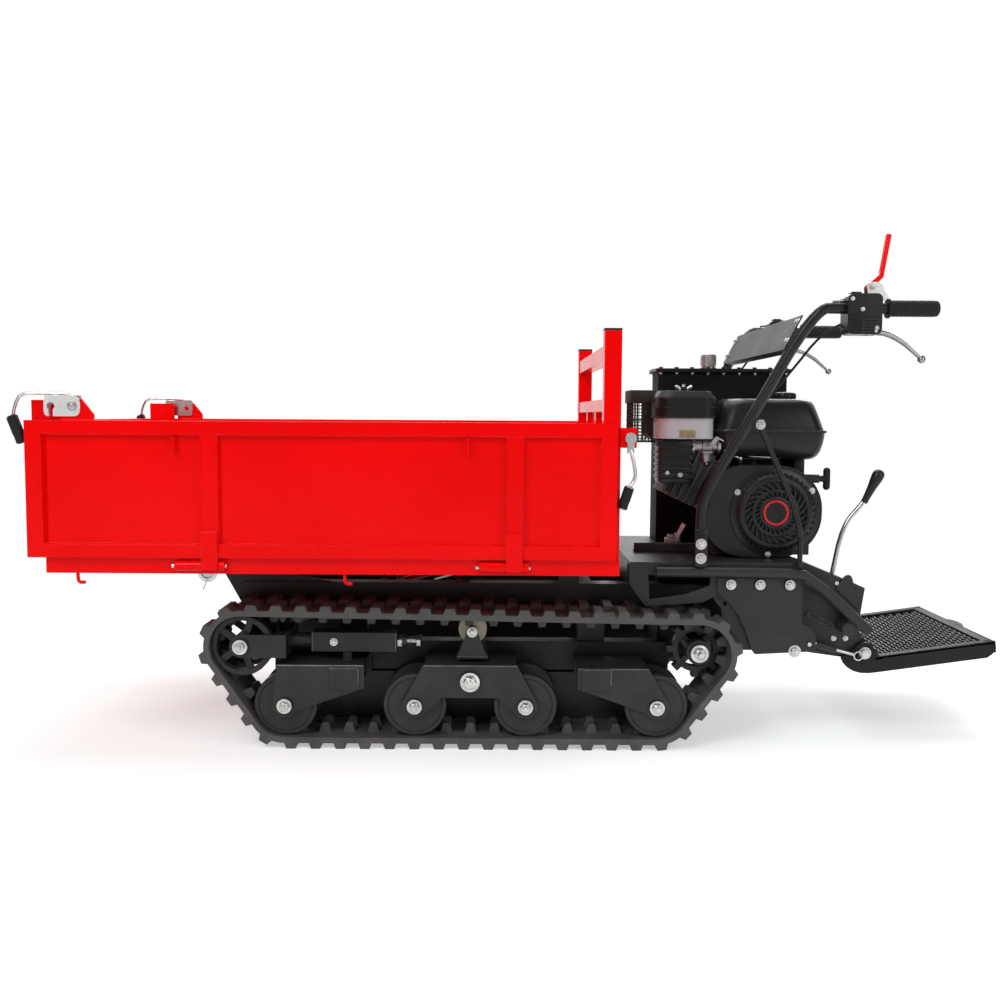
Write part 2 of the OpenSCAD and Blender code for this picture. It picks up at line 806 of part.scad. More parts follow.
// Wheels
module wheel(r, spot) {
    at_left() translate([spot[0], 0, spot[1]]) rotate([90, 0, 0]) rotate_extrude() polygon([
        [axle_r + fit, -hub_half], [boss_r - 2, -hub_half], [boss_r, -disc_out + 6], [r - 12, -disc_out + 4],
        [r - 10, -disc_out], [r - 2, -disc_out], [r, -disc_out + 2], [r, -disc_in - 2], [r - 2, -disc_in],
        [boss_r, -disc_in + 4], [boss_r, disc_in - 4], [r - 2, disc_in], [r, disc_in + 2], [r, disc_out - 2],
        [r - 2, disc_out], [r - 10, disc_out], [r - 12, disc_out - 4], [boss_r, disc_out - 6],
            [boss_r - 2, hub_half],
        [axle_r + fit, hub_half]]);
}
module roller(spot) {
    color(powder_black) wheel(roller_r, spot);
}
module idler() {
    hub_r = boss_r - 2;
    rim_r = idler_r - idler_rim;
    rim_edge = 2;
    color(powder_black) at_left() translate([idler_spot[0], 0, idler_spot[1]]) rotate([90, 0, 0]) {
        for (s = [-1, 1]) {
            rotate_extrude() polygon([[rim_r, s * disc_in], [idler_r - rim_edge, s * disc_in],
                [idler_r, s * (disc_in + rim_edge)], [idler_r, s * (disc_out - rim_edge)],
                [idler_r - rim_edge, s * disc_out], [rim_r, s * disc_out]]);
            spoke_z = s * (disc_in + disc_out) / 2 - idler_spoke_t / 2;
            for (k = [0 : idler_spokes - 1]) rotate(k * 360 / idler_spokes)
                translate([hub_r - bond, -idler_spoke_w / 2, spoke_z])
                    cube([rim_r - hub_r + 2 * bond, idler_spoke_w, idler_spoke_t]);
        }
        rotate_extrude() polygon([[axle_r + fit, -hub_half], [hub_r, -hub_half], [hub_r, hub_half],
            [axle_r + fit, hub_half]]);
    }
}
module carrier() {
    color(nylon_cream) at_left() translate([carrier_spot[0], 0, carrier_spot[1]]) rotate([90, 0, 0])
        rotate_extrude() polygon([[carrier_axle_r + fit, -carrier_hub], [carrier_eye_r, -carrier_hub],
            [carrier_eye_r, -carrier_half], [carrier_r - 2, -carrier_half], [carrier_r, -carrier_half + 2],
            [carrier_r, carrier_half - 2], [carrier_r - 2, carrier_half], [carrier_eye_r, carrier_half],
            [carrier_eye_r, carrier_hub], [carrier_axle_r + fit, carrier_hub]]);
}
module sprocket() {
    color(powder_black) at_left() translate([sprocket_spot[0], 0, sprocket_spot[1]]) {
        rotate([90, 0, 0]) {
            difference() {
                cylinder(r = ring_r, h = 2 * arm_half, center = true);
                cylinder(r = ring_r - ring_wall, h = 3 * arm_half, center = true);
            }
            for (k = [0 : 3]) rotate(k * 90 + 45) translate([sprocket_hub_r - 10, -spoke_w / 2,
                -arm_half + 3])
                cube([ring_r - sprocket_hub_r, spoke_w, 2 * arm_half - 6]);
            for (k = [0 : sprocket_arms - 1]) rotate(k * 360 / sprocket_arms)
                translate([ring_r - 4, -arm_w / 2, -arm_half]) cube([sprocket_r - ring_r + 2, arm_w,
                    2 * arm_half]);
            translate([0, 0, -sprocket_hub_in]) cylinder(r = sprocket_hub_r, h = sprocket_hub_l);
            translate([0, 0, sprocket_hub_l - sprocket_hub_in - bond]) cylinder(r = sprocket_nut_r,
                h = sprocket_nut_h);
            translate([0, 0, -track_y + 100]) cylinder(r = shaft_r, h = track_y - 110);
        }
    }
}
module bogie() {
    x = bogie_spot[0];
    ends = [bogie_roller(-1), bogie_roller(1)];
    top = bogie_top_half;
    low = bogie_low_half;
    color(powder_black) at_left() {
        for (y = [-plate_out, plate_in]) along_y(y, y + plate_t) difference() {
            union() {
                polygon([[x - top, bogie_z1], [x + top, bogie_z1], ends[1] + [boss_r - 1, 8],
                    ends[1] + [-22, -20],
                    [x + low, bogie_z0], [x - low, bogie_z0], ends[0] + [22, -20], ends[0] + [1 - boss_r,
                        8]]);
                for (e = ends) translate(e) circle(boss_r);
            }
            translate(bogie_spot) circle(pivot_r + fit);
        }
        block(x - top + 3, x + top - 3, -plate_out, plate_out, bogie_z1 - plate_t, bogie_z1);
        for (e = ends) {
            rod_y(axle_r, e, -plate_out - nut_h, plate_out + 6);
            hex_y(nut_r, e, -plate_out - nut_h, -plate_out + 1);
        }
    }
}

// Bed
module floor_knuckles() {
    for (x = hinge_xs) difference() {
        union() for (span = barrel_spans(x)) {
            rod_x(barrel_r, [-gate_hinge_y, hinge_z], span[0], span[1]);
            block(span[0], span[1], -gate_hinge_y, -bed_w / 2 + bond, hinge_z - 7, hinge_z + 7);
        }
        rod_x(pin_r + fit, [-gate_hinge_y, hinge_z], x - pin_reach - 1, x + pin_reach + 1);
    }
}
module front_knuckles() {
    for (y = front_hinge_ys, s = [-1, 1]) let (m = y + s * (knuckle_l / 2 + side_gap + 12)) difference() {
        union() {
            rod_y(knuckle_r, [front_hinge_x, hinge_z], m - 12, m + 12);
            block(front_hinge_x, bed_x0 + bond, m - 12, m + 12, hinge_z - 7, hinge_z + 7);
        }
        rod_y(pin_r + fit, [front_hinge_x, hinge_z], m - 13, m + 13);
    }
}
module bed_floor() {
    w = bed_w / 2;
    color(paint_red) {
        difference() {
            block(bed_x0, bed_x1, -w, w, floor_z0, floor_z);
            block(bed_x0 + floor_edge, bed_x1 - floor_edge, -w + floor_edge, w - floor_edge, floor_z0 - 1,
                floor_z - floor_sheet);
        }
        block(bed_x0 + 1, post_x0 - 1, -gate_in + 2, gate_in - 2, floor_z - bond, floor_z + load_sheet);
        for (x = floor_rib_xs) block(x - floor_rib_w / 2, x + floor_rib_w / 2, -w + floor_edge - 1,
            w - floor_edge + 1, floor_z0, floor_z - floor_sheet + bond);
        both_sides() {
            floor_knuckles();
            difference() {
                along_y(-ear_y - ear_t, -ear_y) union() {
                    translate(tip_spot) circle(20);
                    polygon([tip_spot + [-20, 0], tip_spot + [20, 0], [tip_spot[0] + 45, floor_z - 2],
                        [tip_spot[0] - 45, floor_z - 2]]);
                }
                rod_y(tip_r + fit, tip_spot, -ear_y - ear_t - 1, -ear_y + 1);
            }
            difference() {
                along_y(-lift_cheek_y - lift_cheek_t, -lift_cheek_y) union() {
                    translate(lift_eye) circle(lift_cheek_r);
                    polygon([lift_eye - [lift_cheek_r, 0], lift_eye + [lift_cheek_r, 0],
                        [lift_eye[0] + lift_cheek_foot, floor_z - bond],
                        [lift_eye[0] - lift_cheek_foot, floor_z - bond]]);
                }
                rod_y(lift_pin_r + fit, lift_eye, -lift_cheek_y - lift_cheek_t - 1, -lift_cheek_y + 1);
            }
        }
        front_knuckles();
    }
}
module headboard() {
    color(paint_red) {
        both_sides() {
            difference() {
                block(post_x0, post_x1, -post_y - post_w / 2, -post_y + post_w / 2, floor_z, post_z1);
                block(post_x0 + post_wall, post_x1 - post_wall, -post_y - post_w / 2 + post_wall,
                    -post_y + post_w / 2 - post_wall, post_z1 - post_socket, post_z1 + 1);
            }
            difference() {
                block(post_x1 - bond, rear_latch_spot[0] + 14, -rear_latch_y + 8, -rear_latch_y + 20,
                    rear_latch_spot[1] - 22, rear_latch_spot[1] + 24);
                rod_y(rear_latch_pin_r + fit, rear_latch_spot, -rear_latch_y + 7, -rear_latch_y + 21);
            }
        }
        block(post_x0 + 2, post_x1 - 2, -post_y, post_y, post_z1 - top_rail_drop - top_rail_h,
            post_z1 - top_rail_drop);
        block(post_x0 + 2, post_x1 - 2, -post_y, post_y, floor_z + panel_h - panel_rail_h, floor_z + panel_h);
        block(post_x0 + post_w / 2 - 2, post_x0 + post_w / 2 + 2, -post_y, post_y, floor_z,
            floor_z + panel_h - panel_rail_h + bond);
        block(post_x0 + 2, post_x1 - 2, -post_y, post_y, floor_z, floor_z + panel_rail_h);
        for (y = [-panel_rib_y, panel_rib_y]) block(post_x0 + 6, post_x1 - 6, y - panel_rail_h / 2,
            y + panel_rail_h / 2, floor_z + panel_rail_h - bond, floor_z + panel_h - panel_rail_h + bond);
    }
}
module post_caps() {
    color(rubber_black) both_sides() {
        block(post_x0, post_x1, -post_y - post_w / 2, -post_y + post_w / 2, post_z1, post_z1 + 5);
        block(post_x0 + post_wall, post_x1 - post_wall, -post_y - post_w / 2 + post_wall,
            -post_y + post_w / 2 - post_wall, post_z1 - 15, post_z1 + 1);
    }
}
module hinge_pins() {
    color(zinc) {
        both_sides() {
            for (x = hinge_xs)
                rod_x(pin_r, [-gate_hinge_y, hinge_z], x - pin_reach, x + collar_l + knuckle_l / 2 + 4);
            rod_y(rear_latch_pin_r, rear_latch_spot, -rear_latch_y - 4, -rear_latch_y + 18);
        }
        for (y = front_hinge_ys)
            rod_y(pin_r, [front_hinge_x, hinge_z], y - front_pin_reach, y + front_pin_reach);
        rod_y(lift_pin_r, lift_eye, -lift_cheek_y - lift_cheek_t - 5, lift_cheek_y + lift_cheek_t + 5);
    }
}

// Gates: a frame of square tube round a recessed sheet, seen from outside
module gate_frame(l, stiles) {
    difference() {
        block(0, l, 0, gate_t, 0, gate_h);
        block(stile_w, l - stile_w, -1, gate_t + 1, rail_h, gate_h - rail_h);
    }
    block(stile_w - bond, l - stile_w + bond, gate_t / 2, gate_t / 2 + gate_sheet, rail_h - bond,
        gate_h - rail_h + bond);
    for (x = stiles) block(x - stile_w / 2, x + stile_w / 2, 1, gate_t - 1, rail_h - bond,
        gate_h - rail_h + bond);
}
module hinge_bar_left(x) {
    difference() {
        union() {
            block(x - knuckle_l / 2, x + knuckle_l / 2, -gate_out - bar_t, -gate_out + 1, hinge_z - 9,
                gate_z0 + bar_top);
            rod_x(knuckle_r, [-gate_hinge_y, hinge_z], x - knuckle_l / 2, x + knuckle_l / 2);
            block(x - knuckle_l / 2, x + knuckle_l / 2, -gate_out - 1, -gate_hinge_y, hinge_z - 8,
                hinge_z + 8);
        }
        rod_x(pin_r + fit, [-gate_hinge_y, hinge_z], x - knuckle_l, x + knuckle_l);
    }
}
module rope_hook(x) {
    z = gate_z1 - rope_hook_drop;
    rod_z(rope_hook_r, [x, -gate_out - 2], z, z + rope_hook_l);
    for (h = [z + rope_hook_r, z + rope_hook_l - rope_hook_r])
        rod_y(rope_hook_r, [x, h], -gate_out - 2, -gate_out + gate_t / 2 + 1);
}
module hook_bracket() {
    difference() {
        along_y(-hook_y - hook_t - 8, -hook_y - hook_t - side_gap) polygon([
            [hook_spot[0] - 30, gate_z1 - 12], [hook_spot[0] + 47, gate_z1 - 12],
            [hook_spot[0] + 47, gate_z1 + 14], [hook_spot[0] + 20, gate_z1 + 48],
            [hook_spot[0] - 30, gate_z1 + 48]]);
        rod_y(hook_pin_r, hook_spot, -hook_y - 20, -hook_y);
    }
}
module side_gate() {
    color(paint_red) {
        translate([gate_x0, -gate_out, gate_z0]) gate_frame(gate_x1 - gate_x0,
            [for (x = hinge_xs) x - gate_x0]);
        for (x = hinge_xs) hinge_bar_left(x);
        for (x = rope_xs) rope_hook(x);
        hook_bracket();
        rod_y(hook_pin_r, hook_spot, -hook_y - hook_t - 10, -hook_y + 4);
    }
}
module side_gate_left() {
    side_gate();
}
module side_gate_right() {
    other_side() side_gate();
}
module front_gate() {
    color(paint_red) {
        translate([front_out, front_half, gate_z0]) rotate([0, 0, -90])
            gate_frame(2 * front_half, [for (y = front_hinge_ys) front_half + y]);
        for (y = front_hinge_ys) difference() {
            union() {
                block(front_out - bar_t, front_out + 1, y - knuckle_l / 2, y + knuckle_l / 2, hinge_z - 9,
                    gate_z0 + bar_top);
                rod_y(knuckle_r, [front_hinge_x, hinge_z], y - knuckle_l / 2, y + knuckle_l / 2);
                block(front_out - 1, front_hinge_x, y - knuckle_l / 2, y + knuckle_l / 2, hinge_z - 8,
                    hinge_z + 8);
            }
            rod_y(pin_r + fit, [front_hinge_x, hinge_z], y - knuckle_l, y + knuckle_l);
        }
        both_sides() {
            block(front_out, lock_spot[0] + 16, -front_half, -front_half + 8, gate_z1 - 20,
                lock_spot[1] + 14);
            rod_y(lock_r, lock_spot, -hook_y + 0.4, -front_half + 4);
        }
    }
}
function side_points(spot, y, route) = [for (p = route) [spot[0] + p[0], y, spot[1] + p[1]]];
module latch_front() {
    slot_r = lock_r + 1.5;
    color(chrome) {
        difference() {
            along_y(-hook_y - hook_t, -hook_y) difference() {
                translate(hook_spot + latch_plate_spot) rounded(latch_plate[0], latch_plate[1], 6);
                translate(lock_spot) circle(slot_r);
                translate(lock_spot - [slot_r, latch_plate[1]]) square([2 * slot_r, latch_plate[1]]);
            }
            rod_y(hook_pin_r + fit, hook_spot, -hook_y - hook_t - 1, -hook_y + 1);
        }
        bent_bar(smooth(side_points(hook_spot, -hook_y - 2, latch_front_rod), 1), latch_rod_r, 8);
        bent_bar(smooth(side_points(hook_spot, -hook_y - 2, latch_front_grip), 1), latch_grip_r, 12);
    }
}
module latch_front_left() {
    latch_front();
}
module latch_front_right() {
    other_side() latch_front();
}
module latch_rear() {
    color(chrome) {
        difference() {
            along_y(-rear_latch_y, -rear_latch_y + rear_latch_t) union() {
                translate(rear_latch_spot) circle(13);
                translate(rear_latch_spot - [8, 34]) square([16, 34]);
            }
            rod_y(rear_latch_pin_r + fit, rear_latch_spot, -rear_latch_y - 1, -rear_latch_y + 9);
        }
        bent_bar(smooth(side_points(rear_latch_spot, -rear_latch_y + 3, latch_rear_rod), 1), latch_rod_r, 8);
        bent_bar(side_points(rear_latch_spot, -rear_latch_y + 3, latch_rear_grip), latch_grip_r, 12);
    }
}
module latch_rear_left() {
    latch_rear();
}
module latch_rear_right() {
    other_side() latch_rear();
}

// Lift cylinder, drawn along +X from its base pin and then tilted
module at_lift() {
    translate([lift_base[0], 0, lift_base[1]]) rotate([0, -lift_tilt, 0]) children();
}
module lift_cylinder() {
    color(powder_black) at_lift() difference() {
        union() {
            rod_y(lift_base_r, [0, 0], -lift_cheek_y + side_gap, lift_cheek_y - side_gap);
            rod_x(lift_base_r - 4, [0, 0], 0, lift_neck_l + 4);
            rod_x(lift_barrel_r, [0, 0], lift_neck_l, lift_barrel_l);
            rod_x(lift_barrel_r + 4, [0, 0], lift_barrel_l - lift_gland_l, lift_barrel_l);
        }
        rod_y(lift_base_pin_r + fit, [0, 0], -lift_cheek_y, lift_cheek_y);
        rod_x(lift_rod_r + fit, [0, 0], lift_neck_l + 12, lift_barrel_l + 1);
    }
}
module lift_rod() {
    color(chrome) at_lift() difference() {
        union() {
            rod_x(lift_rod_r, [0, 0], lift_neck_l + 16, lift_span - lift_eye_r + 6);
            rod_y(lift_eye_r, [lift_span, 0], -lift_eye_half, lift_eye_half);
        }
        rod_y(lift_eye_bore, [lift_span, 0], -lift_eye_half - 1, lift_eye_half + 1);
    }
}

// Engine
module engine_block() {
    color(cast_grey) {
        block(block_x0, block_x1, fan_back_y, block_y1, deck_z, block_z1);
        along_y(case_y0, case_y1) translate(crank_spot) circle(case_r);
        rod_y(crank_r, crank_spot, case_y1 - 12, case_y1 + crank_l);
        translate([head_spot[0], 0, head_spot[1]]) rotate([0, head_tilt, 0]) {
            block(-head_front, head_back, head_y0, head_y0 + head_w, -head_low, head_high);
            for (k = [0 : fins - 1]) let (x = k * fin_pitch - head_front - 10)
                block(x, x + fin_t, head_y0 - fin_rim, head_y0 + head_w + fin_rim, -head_low - 6,
                    head_high + 8);
        }
        block(block_x0 - intake_l + bond, block_x0 + bond, intake_y0, intake_y0 + intake_w, intake_z0,
            cleaner_z0);
        rod_z(exhaust_r, exhaust_spot, block_z1, muffler_z0 - side_gap);
    }
}
module fan_housing() {
    color(powder_black) difference() {
        union() {
            along_y(fan_y, fan_back_y) translate([fan_x0, fan_z0]) rounded(fan_w, fan_z1 - fan_z0,
                fan_corner);
            rod_x(rope_r + 8, [starter_y, starter_z], fan_x0 + fan_w - 70, fan_x0 + fan_w);
        }
        along_y(fan_y + fan_wall, fan_back_y + 1) translate([fan_x0 + fan_wall, fan_z0 + fan_wall])
            rounded(fan_w - 2 * fan_wall, fan_z1 - fan_z0 - 2 * fan_wall, fan_corner - fan_wall);
        rod_y(recoil_r - 8, crank_spot, fan_y - 1, fan_y + fan_wall + 1);
        rod_x(rope_r + 1, [starter_y, starter_z], fan_x0 + fan_w - 80, fan_x0 + fan_w + 1);
    }
}
module recoil_cover() {
    color(powder_black) translate([crank_spot[0], 0, crank_spot[1]]) rotate([90, 0, 0]) difference() {
        rotate_extrude() polygon([[0, -recoil_y], [recoil_r - 14, -recoil_y], [recoil_r, -recoil_y - 10],
            [recoil_r + 24, -fan_y + 3], [recoil_r + 24, -fan_y], [recoil_r - 4, -fan_y],
            [recoil_r - 17, -recoil_y - 4], [0, -recoil_y - 4]]);
        for (k = [0 : recoil_slots - 1]) rotate(k * 360 / recoil_slots) translate([40, -5, -recoil_y - 6])
            cube([recoil_r - 60, 10, 10]);
    }
}
module starter_handle() {
    x = fan_x0 + fan_w;
    color(rubber_black) {
        rod_x(rope_r, [starter_y, starter_z], x - rope_l, x + 6);
        translate([x + side_gap, starter_y, starter_z]) rotate([0, 90, 0])
            cylinder(r1 = starter_grip_r - 2, r2 = starter_grip_r, h = 14);
        hull() for (s = [-1, 1]) translate([x + 20, starter_y, starter_z + starter_grip_half * s])
            sphere(starter_grip_r, $fn = 20);
    }
}
module fuel_tank() {
    color(powder_black) {
        hull() {
            along_z(fuel_z0, fuel_z0 + 2) translate([fuel_x0 + 24, fuel_y0 + 22])
                rounded(fuel_l - 48, fuel_w - 44, 26, $fn = 32);
            along_z(fuel_flange_z - 8, fuel_flange_z) translate([fuel_x0 + 4, fuel_y0 + 4])
                rounded(fuel_l - 8, fuel_w - 8, 30, $fn = 32);
        }
        along_z(fuel_flange_z - 4, fuel_flange_z + 2) translate([fuel_x0, fuel_y0]) rounded(fuel_l,
            fuel_w, 32);
        hull() {
            along_z(fuel_flange_z, fuel_flange_z + 6) translate([fuel_x0 + 6, fuel_y0 + 6])
                rounded(fuel_l - 12, fuel_w - 12, 30, $fn = 32);
            along_z(fuel_top_z - 3, fuel_top_z) translate([fuel_x0 + 30, fuel_y0 + 34])
                rounded(fuel_l - 70, fuel_w - 68, 30, $fn = 32);
        }
        rod_z(fuel_cap_r, [fuel_x0 + fuel_l - 87, fuel_y0 + 120], fuel_top_z - 1, fuel_top_z + fuel_cap_h);
        for (x = [fuel_x0 + 100, fuel_x0 + fuel_l - 60])
            block(x - 14, x + 14, fuel_leg_y, fuel_leg_y + fuel_leg_w, block_z1, fuel_z0 + 1);
    }
}
module cleaner_outline(inset, corner) {
    translate([cleaner_x0 + inset, cleaner_y0 + inset])
        rounded(cleaner_l - 2 * inset, cleaner_w - 2 * inset, corner, $fn = 32);
}
module air_cleaner_bowl() {
    color(bowl_amber) along_z(cleaner_z0, cleaner_seam_z) cleaner_outline(cleaner_inset,
        cleaner_corner - cleaner_inset);
}
module air_cleaner_lid() {
    color(powder_black) {
        hull() {
            along_z(cleaner_seam_z, cleaner_edge_z) cleaner_outline(0, cleaner_corner);
            along_z(cleaner_top_z - 4, cleaner_top_z) cleaner_outline(cleaner_crown, cleaner_corner - 8);
        }
        rod_z(9, [cleaner_x0 + cleaner_l / 2, cleaner_y0 + cleaner_w / 2], cleaner_top_z - 2,
            cleaner_top_z + 12);
    }
}
module muffler() {
    color(muffler_grey) along_y(muffler_y0, muffler_y0 + muffler_w) translate([muffler_x0, muffler_z0])
        rounded(muffler_l, muffler_h, muffler_corner);
}
module muffler_guard() {
    x0 = guard_x0 + 2;
    sides = [guard_y0, guard_y0 + guard_w - guard_wire];
    color(powder_black) {
        block(guard_x0, guard_x0 + guard_l, guard_y0, guard_y0 + guard_w, guard_z1 - 4, guard_z1);
        for (k = [0 : guard_bars - 1]) let (y = guard_y0 + 4 + k * (guard_w - 10) / (guard_bars - 1))
            block(x0 + 2, x0 + 2 + guard_wire, y, y + guard_wire, guard_z0, guard_z1 - guard_wire);
        for (z = guard_rows) {
            block(x0 + 1, x0 + 1 + guard_wire, guard_y0 + 2, guard_y0 + guard_w - 1, z, z + guard_wire);
            for (y = sides) block(x0, guard_x0 + guard_l - 4, y, y + guard_wire, z, z + guard_wire);
        }
        for (y = sides, k = [0 : guard_side_bars - 1]) let (x = x0 + 6 + k * (guard_l - 17)
            / (guard_side_bars - 1))
            block(x, x + guard_wire, y, y + guard_wire, guard_z0, guard_z1 - guard_wire);
    }
}
module hydraulic_tank() {
    color(powder_black) {
        along_z(deck_z, oil_z1) translate([oil_x0 + 8, oil_y0 + 8]) rounded(oil_l - 16, oil_w - 16, 12);
        along_z(oil_z1 - 4, oil_z1) translate([oil_x0, oil_y0]) rounded(oil_l, oil_w, 8);
    }
}
module tank_lid() {
    color(powder_black) {
        difference() {
            along_z(oil_z1, oil_z1 + lid_t) translate([oil_x0, oil_y0]) rounded(oil_l, oil_w, 8);
            rod_z(filler_neck_r + fit, [filler_x, filler_y], oil_z1 - 1, oil_z1 + lid_t + 1);
        }
        for (x = [oil_x0 + 14 : lid_bolt_pitch : oil_x0 + oil_l - 10], y = [oil_y0 + 10, oil_y0 + oil_w - 10])
            translate([x, y, oil_z1 + lid_t - 1]) cylinder(r = lid_bolt_r, h = lid_bolt_h, $fn = 6);
    }
}
module filler_cap() {
    color(chrome) {
        rod_z(filler_r, [filler_x, filler_y], oil_z1 + lid_t + 0.3, oil_z1 + lid_t + filler_h);
        rod_z(filler_neck_r, [filler_x, filler_y], oil_z1 + side_gap, oil_z1 + lid_t + bond);
    }
}

// Handlebar
function tube_place(z) =
    [bar_low[0] + (bar_high[0] - bar_low[0]) * (z - bar_low[2]) / (bar_high[2] - bar_low[2]), z];
function bar_route() = smooth([[bar_foot_x, -rail_y, bar_foot_z], [bar_foot_x, -rail_y, bar_knee_z],
    bar_bend, bar_low,
    bar_high, bar_high + [60, 0, 0], [grip_x1 - 4, -bar_end_y, grip_z]], 2);
module handlebar() {
    color(powder_black) {
        both_sides() {
            bent_bar(bar_route(), bar_r, 16);
            bent_bar(smooth([brace_top, [brace_x + 2, -rail_y + 2, bar_knee_z], [brace_x, -rail_y,
                bar_foot_z]], 1),
                brace_r, 10);
        }
    }
}
module handle_grips() {
    color(rubber_black) both_sides() difference() {
        union() {
            rod_x(grip_r, [-bar_end_y, grip_z], grip_x0, grip_x1);
            rod_x(grip_r + 4, [-bar_end_y, grip_z], grip_x0, grip_x0 + 6);
        }
        rod_x(bar_r + 0.1, [-bar_end_y, grip_z], grip_x0 - 1, grip_x1 - 3);
    }
}
module control_pods() {
    color(powder_black) both_sides() difference() {
        along_y(-bar_end_y - pod_half, -bar_end_y + pod_half) translate([pod_x0, pod_z0])
            rounded(pod_x1 - pod_x0, pod_z1 - pod_z0, 12);
        rod_x(bar_r + 0.2, [-bar_end_y, grip_z], pod_x0 - 1, pod_x1 + 1);
        along_y(-bar_end_y - 9, -bar_end_y + 9) translate([steer_spot[0] - 22, pod_z0 - 16]) square([60, 48]);
        rod_y(lever_pin_r + fit, steer_spot, -bar_end_y - pod_half - 1, -bar_end_y + pod_half + 1);
    }
    color(chrome) for (y = [-bar_end_y - 11, -bar_end_y + 7]) along_y(y, y + 4) difference() {
        union() {
            translate(drive_spot) circle(9);
            translate([drive_spot[0] - 9, pod_z1]) square([26, drive_spot[1] - pod_z1]);
        }
        translate(drive_spot) circle(lever_pin_r + fit);
    }
}
module console_panel() {
    slope = unit([bar_high[0] - bar_low[0], bar_high[2] - bar_low[2]]);
    out = [-slope[1], slope[0]];
    half = console_w / 2;
    low = tube_place(console_low_z) + (bar_r + console_gap) * out;
    high = tube_place(console_high_z) + (bar_r + console_gap) * out;
    color(powder_black) {
        along_y(-half, half) polygon([low, high, high + console_t * out, low + console_t * out]);
        along_y(-half + console_lip_in, half - console_lip_in)
            polygon([low + console_t * out, low, low + [console_lip, -console_t],
                low + [console_lip, -2 * console_t], low - [0, console_t]]);
    }
}

// Bent sheet that carries the shift lever on a pin through its two cheeks
module shift_console() {
    rim = concat([[deck_x1, deck_z - 1]], [for (p = shift_rim) shift_spot + p]);
    foot = shift_spot + shift_foot;
    sheet = concat([foot], [for (p = shift_sheet) shift_spot + p], [[deck_x1, deck_z - 5]]);
    difference() {
        along_y(shift_y - console_half, shift_y + console_half) polygon(concat(rim, sheet));
        block(shift_spot[0] - 14, shift_spot[0] + 22, shift_y - 12, shift_y + 12, shift_spot[1], deck_z);
    }
    for (y = [shift_y - console_half, shift_y + console_half - 3]) along_y(y, y + 3) difference() {
        polygon(concat(rim, [foot, shift_spot + shift_cheek, [deck_x1, shift_spot[1]]]));
        translate(shift_spot) circle(shift_pin_r + fit);
    }
}

module side_plate() {
    along_y(-panel_out - side_plate_t, -panel_out) difference() {
        polygon(concat([[side_plate_x1, side_plate_z], [side_plate_x1, side_plate_heel]], side_plate_edge));
        translate(strut_spot) circle(strut_pin_r + fit);
    }
}

// Rear frame: side rails, side plates, step hinge plates and the shift console
module rear_frame() {
    color(powder_black) {
        both_sides() {
            bent_bar(smooth([for (p = rail_route) [p[0], -rail_y, p[1]]], 1), rail_r, 16);
            side_plate();
            along_y(-step_plate_y, -step_plate_y + step_flange_t) difference() {
                polygon([for (p = step_plate) step_spot + p]);
                translate(step_spot) circle(step_pin_r + fit);
            }
        }
        rod_y(rear_tube_r, rear_tube_spot, -rail_y, rail_y);
        shift_console();
    }
}
module control_cables() {
    color(rubber_black) for (s = [-1, 1])
        bent_bar(smooth([for (p = cable_route) [p[0], s * p[1], p[2]]], 2), cable_r, 8);
}

// Levers
module steering_lever() {
    y = -bar_end_y;
    color(chrome) {
        difference() {
            rod_y(steer_hub_r, steer_spot, y - 8, y + 8);
            rod_y(lever_pin_r + fit, steer_spot, y - 9, y + 9);
        }
        bent_bar(smooth(side_points(steer_spot, y, steer_rod), 1), steer_rod_r, 10);
        translate(side_points(steer_spot, y, [steer_ball])[0]) sphere(steer_ball_r);
    }
}
module steering_lever_left() {
    steering_lever();
}
module steering_lever_right() {
    other_side() steering_lever();
}
module drive_lever() {
    color(paint_red) along_y(-bar_end_y - drive_half, -bar_end_y + drive_half) difference() {
        union() {
            translate(drive_spot) circle(drive_hub_r);
            polygon([for (p = drive_edge) drive_spot + p]);
        }
        translate(drive_spot) circle(lever_pin_r + fit);
    }
}
module shift_lever() {
    half = shift_hub_r + 1;
    color(powder_black) {
        difference() {
            rod_y(shift_hub_r, shift_spot, shift_y - half, shift_y + half);
            rod_y(shift_pin_r + fit, shift_spot, shift_y - half - 1, shift_y + half + 1);
        }
        bent_bar(smooth(side_points(shift_spot, shift_y, shift_rod), 1), shift_rod_r, 10);
        bent_bar(side_points(shift_spot, shift_y, shift_grip), shift_grip_r, 12);
    }
}

// Riding step, drawn flat from its hinge and then sloped
module at_step() {
    translate([step_spot[0], 0, step_spot[1]]) rotate([0, -step_slope, 0]) children();
}
module platform() {
    low = step_top - step_flange;
    color(powder_black) {
        at_step() {
            both_sides() along_y(-step_half, -step_half + step_flange_t) difference() {
                union() {
                    circle(step_eye_r);
                    polygon([[-22, 12], [22, 12], [40, step_top + 3], [step_l, step_top + 3],
                        [step_l, step_top - 16], [step_l - 24, low], [14, low], [-8, low + 18], [-26, -2]]);
                }
                circle(step_pin_r + fit);
            }
            for (k = [0 : step_bars]) let (y = -step_half + 2 + k * (step_w - 8) / step_bars)
                block(24, step_l, y, y + 4, step_top - 14, step_top);
            for (x = [24 : step_cross : step_l - 4])
                block(x, x + 4, -step_half + 1, step_half - 1, step_top - 8, step_top + 1);
            block(step_l - 6, step_l, -step_half, step_half, step_top - 26, step_top + 4);
        }
        rod_y(strut_eye_pin_r, strut_end, strut_y - strut_half - 4, -step_half + 1);
    }
}
module at_strut() {
    translate([strut_spot[0], strut_y, strut_spot[1]]) rotate([0, -strut_tilt, 0]) children();
}
